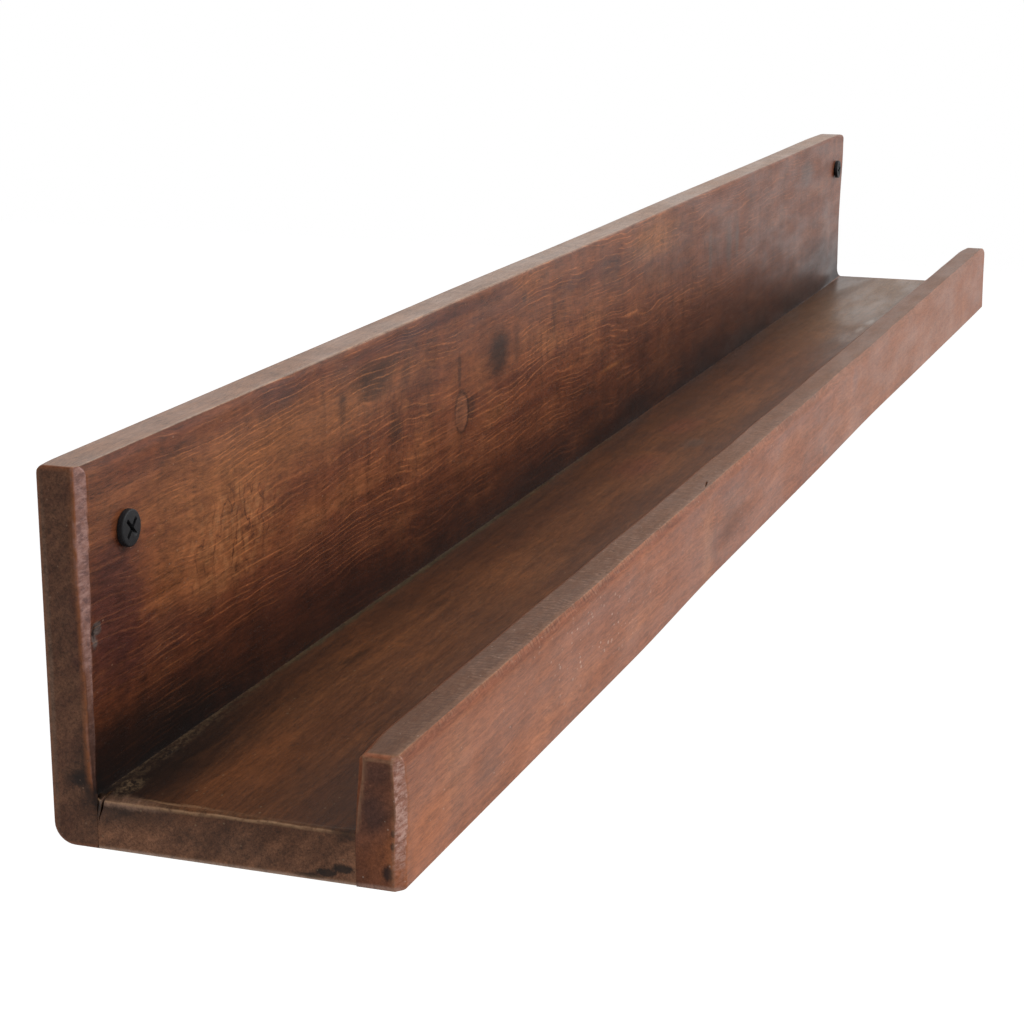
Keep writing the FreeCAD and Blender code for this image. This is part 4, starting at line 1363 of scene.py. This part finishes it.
def splitCutter(spec):
    # a short open split along the lip's front top edge
    low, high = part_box("front_lip")
    bm = cubeOf((spec["length"], spec["width"], spec["depth"] * 2))
    cut = spec["sliceShare"] * spec["length"]
    sliceAt(bm, [-cut, 0.0, cut], 0)
    for vert in bm.verts:
        share = 1 - (abs(vert.co.x) / (spec["length"] / 2)) ** 2
        vert.co.y *= max(spec["leastShare"], share)
        vert.co.z *= blend(spec["tipDepthShare"], 1.0, share)
    turnShape(bm, spec["turn"], "Z")
    place = (low.x + spec["along"], low.y + spec["across"], high.z - spec["down"])
    bmesh.ops.translate(bm, verts=bm.verts, vec=place)
    return looseObject(bm, "splitCutter")


cutAway(lipPiece, splitCutter(lipBoard["split"]))


# Screws and their holes
blackMetal = makeMetalMaterial("blackedSteel", wallScrew["look"])
zincMetal = makeMetalMaterial("dullZinc", jointScrew["look"])


def drillBoard(piece, spec, place, headTowards, seat):
    # a countersunk hole that leaves room for the thread, deeper than the back board is thick
    rim = spec["headRadius" if seat > 0 else "coneRadius"] + holeRoom["head"]
    neck = spec["threadRadius"] + holeRoom["thread"]
    top = seat + holeRoom["overrun"]
    foot = -holeRoom["depth"]
    profile = [(0, top), (rim, top), (rim, 0), (neck, neck - rim), (neck, foot), (0, foot)]
    bm = spunShape(profile, holeRoom["spinSteps"])
    standScrew(bm, place, headTowards)
    bmesh.ops.recalc_face_normals(bm, faces=bm.faces)
    cutAway(piece, looseObject(bm, "drill"))


for node, turn in wallScrew["turns"].items():
    low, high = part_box(node)
    middle = (low + high) / 2
    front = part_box("back_board")[0].y
    place = Vector((middle.x, front, middle.z))
    drillBoard(backPiece, wallScrew, place, -1, 0.0)
    makeScrew("black_" + node, wallScrew, place, -1, turn, blackMetal, node)

for index in range(jointScrew["count"]):
    node = "back_joint_screw_%d" % (index + 1)
    low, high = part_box(node)
    place = Vector(((low.x + high.x) / 2, high.y, (low.z + high.z) / 2))
    drillBoard(backPiece, jointScrew, place, 1, -place.y)
    turn = jointScrew["turnStep"] * index
    makeScrew("threaded_" + node, jointScrew, place, 1, turn, zincMetal, node)
print("screws driven")


# Fluted beech dowels, glued blind into the ledge and the lip
dowel = {
    "count": 5, "radius": 3.0 * mm, "fluteDepth": 0.3 * mm, "flutes": 16, "bevel": 0.6 * mm,
    "smoothAngle": 25,
    "look": {"dark": tone(178, 138, 96), "pale": tone(212, 178, 136), "grain": ((3.0, 0.3, 3.0), 4.0, 0.6),
             "edge": (0.3, 0.7), "roughLow": 0.55, "roughHigh": 0.75},
}


def makeDowelMaterial(look):
    material, tree, shader = newMaterial("paleBeech")
    grain = noiseAt(tree, placeInMillimetres(tree), *look["grain"])
    colour = blendColour(tree, ramp(tree, grain, *look["edge"]), look["dark"], look["pale"])
    rough = ramp(tree, grain, *look["edge"], look["roughLow"], look["roughHigh"])
    tree.links.new(colour, shader.inputs["Base Color"])
    tree.links.new(rough, shader.inputs["Roughness"])
    return material


def makeDowel(node, shape, material):
    low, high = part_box(node)
    middle = (low + high) / 2
    length = high.y - low.y
    bm = bmesh.new()
    bmesh.ops.create_cone(bm, cap_ends=True, segments=shape["flutes"] * 2, radius1=shape["radius"],
                          radius2=shape["radius"], depth=length)
    sliceAt(bm, [length / 2 - shape["bevel"], shape["bevel"] - length / 2], 2)
    for vert in bm.verts:
        turn = math.atan2(vert.co.y, vert.co.x) / math.tau * shape["flutes"] * 2
        depth = shape["fluteDepth"] if round(turn) % 2 else 0.0
        if abs(vert.co.z) > length / 2 - shape["bevel"] / 2:
            depth = shape["bevel"]
        share = 1 - depth / shape["radius"]
        vert.co.x *= share
        vert.co.y *= share
    bmesh.ops.transform(bm, matrix=Matrix.Translation(middle) @ Matrix.Rotation(math.radians(90), 4, "X"),
                        verts=bm.verts)
    return finishPiece(bm, "fluted_" + node, material, [node], shape["smoothAngle"])


beech = makeDowelMaterial(dowel["look"])
for index in range(dowel["count"]):
    makeDowel("lip_dowel_%d" % (index + 1), dowel, beech)
print("dowels made")


# Plain pale floor far below, and soft studio light from the front right
studio = {
    "floorDrop": 2.4, "floorSize": 16.0, "floorGlow": 0.6, "floorTone": (235, 235, 235), "floorRough": 0.9,
    "worldLight": 0.5, "aim": (0, 0, -0.03),
    "lamps": {
        "keyLamp": {"place": (0.9, -2.2, 1.7), "size": 2.2, "power": 60.0},
        "fillLamp": {"place": (-1.2, -1.8, 1.4), "size": 1.6, "power": 10.0},
    },
}


def seenDirectly(tree):
    # 1 for the camera, reflections and glass, 0 for the light that falls on the shelf
    path = addNode(tree, "ShaderNodeLightPath").outputs
    seen = math1(tree, "ADD", path["Is Camera Ray"], path["Is Glossy Ray"])
    return math1(tree, "ADD", seen, path["Is Transmission Ray"], clamp=True)


def makeFloor(setup):
    bm = bmesh.new()
    bmesh.ops.create_grid(bm, x_segments=8, y_segments=8, size=setup["floorSize"])
    bmesh.ops.translate(bm, verts=bm.verts, vec=(0, 0, cadBounds[0].z - setup["floorDrop"]))
    floor = looseObject(bm, "studioFloor")
    material, tree, shader = newMaterial("paleFloor")
    shader.inputs["Base Color"].default_value = tone(*setup["floorTone"])
    shader.inputs["Roughness"].default_value = setup["floorRough"]
    strength = times(tree, seenDirectly(tree), setup["floorGlow"])
    glow = addNode(tree, "ShaderNodeEmission", {"Strength": strength})
    both = addNode(tree, "ShaderNodeAddShader", {0: shader.outputs[0], 1: glow.outputs[0]})
    tree.links.new(both.outputs[0], tree.nodes["Material Output"].inputs["Surface"])
    floor.data.materials.append(material)


def makeWorld(setup):
    world = bpy.data.worlds.new("studioWorld")
    bpy.context.scene.world = world
    world.use_nodes = True
    tree = world.node_tree
    background = tree.nodes["Background"]
    background.inputs["Color"].default_value = (1, 1, 1, 1)
    strength = addNode(tree, "ShaderNodeMix", {0: seenDirectly(tree), 2: setup["worldLight"], 3: 1.0})
    tree.links.new(strength.outputs[0], background.inputs["Strength"])


def makeLamp(name, spec, target):
    data = bpy.data.lights.new(name, "AREA")
    data.shape = "DISK"
    data.size = spec["size"]
    data.energy = spec["power"]
    lamp = bpy.data.objects.new(name, data)
    aim = (Vector(target) - Vector(spec["place"])).to_track_quat("-Z", "Y").to_matrix().to_4x4()
    lamp.matrix_world = Matrix.Translation(spec["place"]) @ aim
    bpy.context.scene.collection.objects.link(lamp)


makeFloor(studio)
makeWorld(studio)
for name, spec in studio["lamps"].items():
    makeLamp(name, spec, studio["aim"])
print("studio lit")
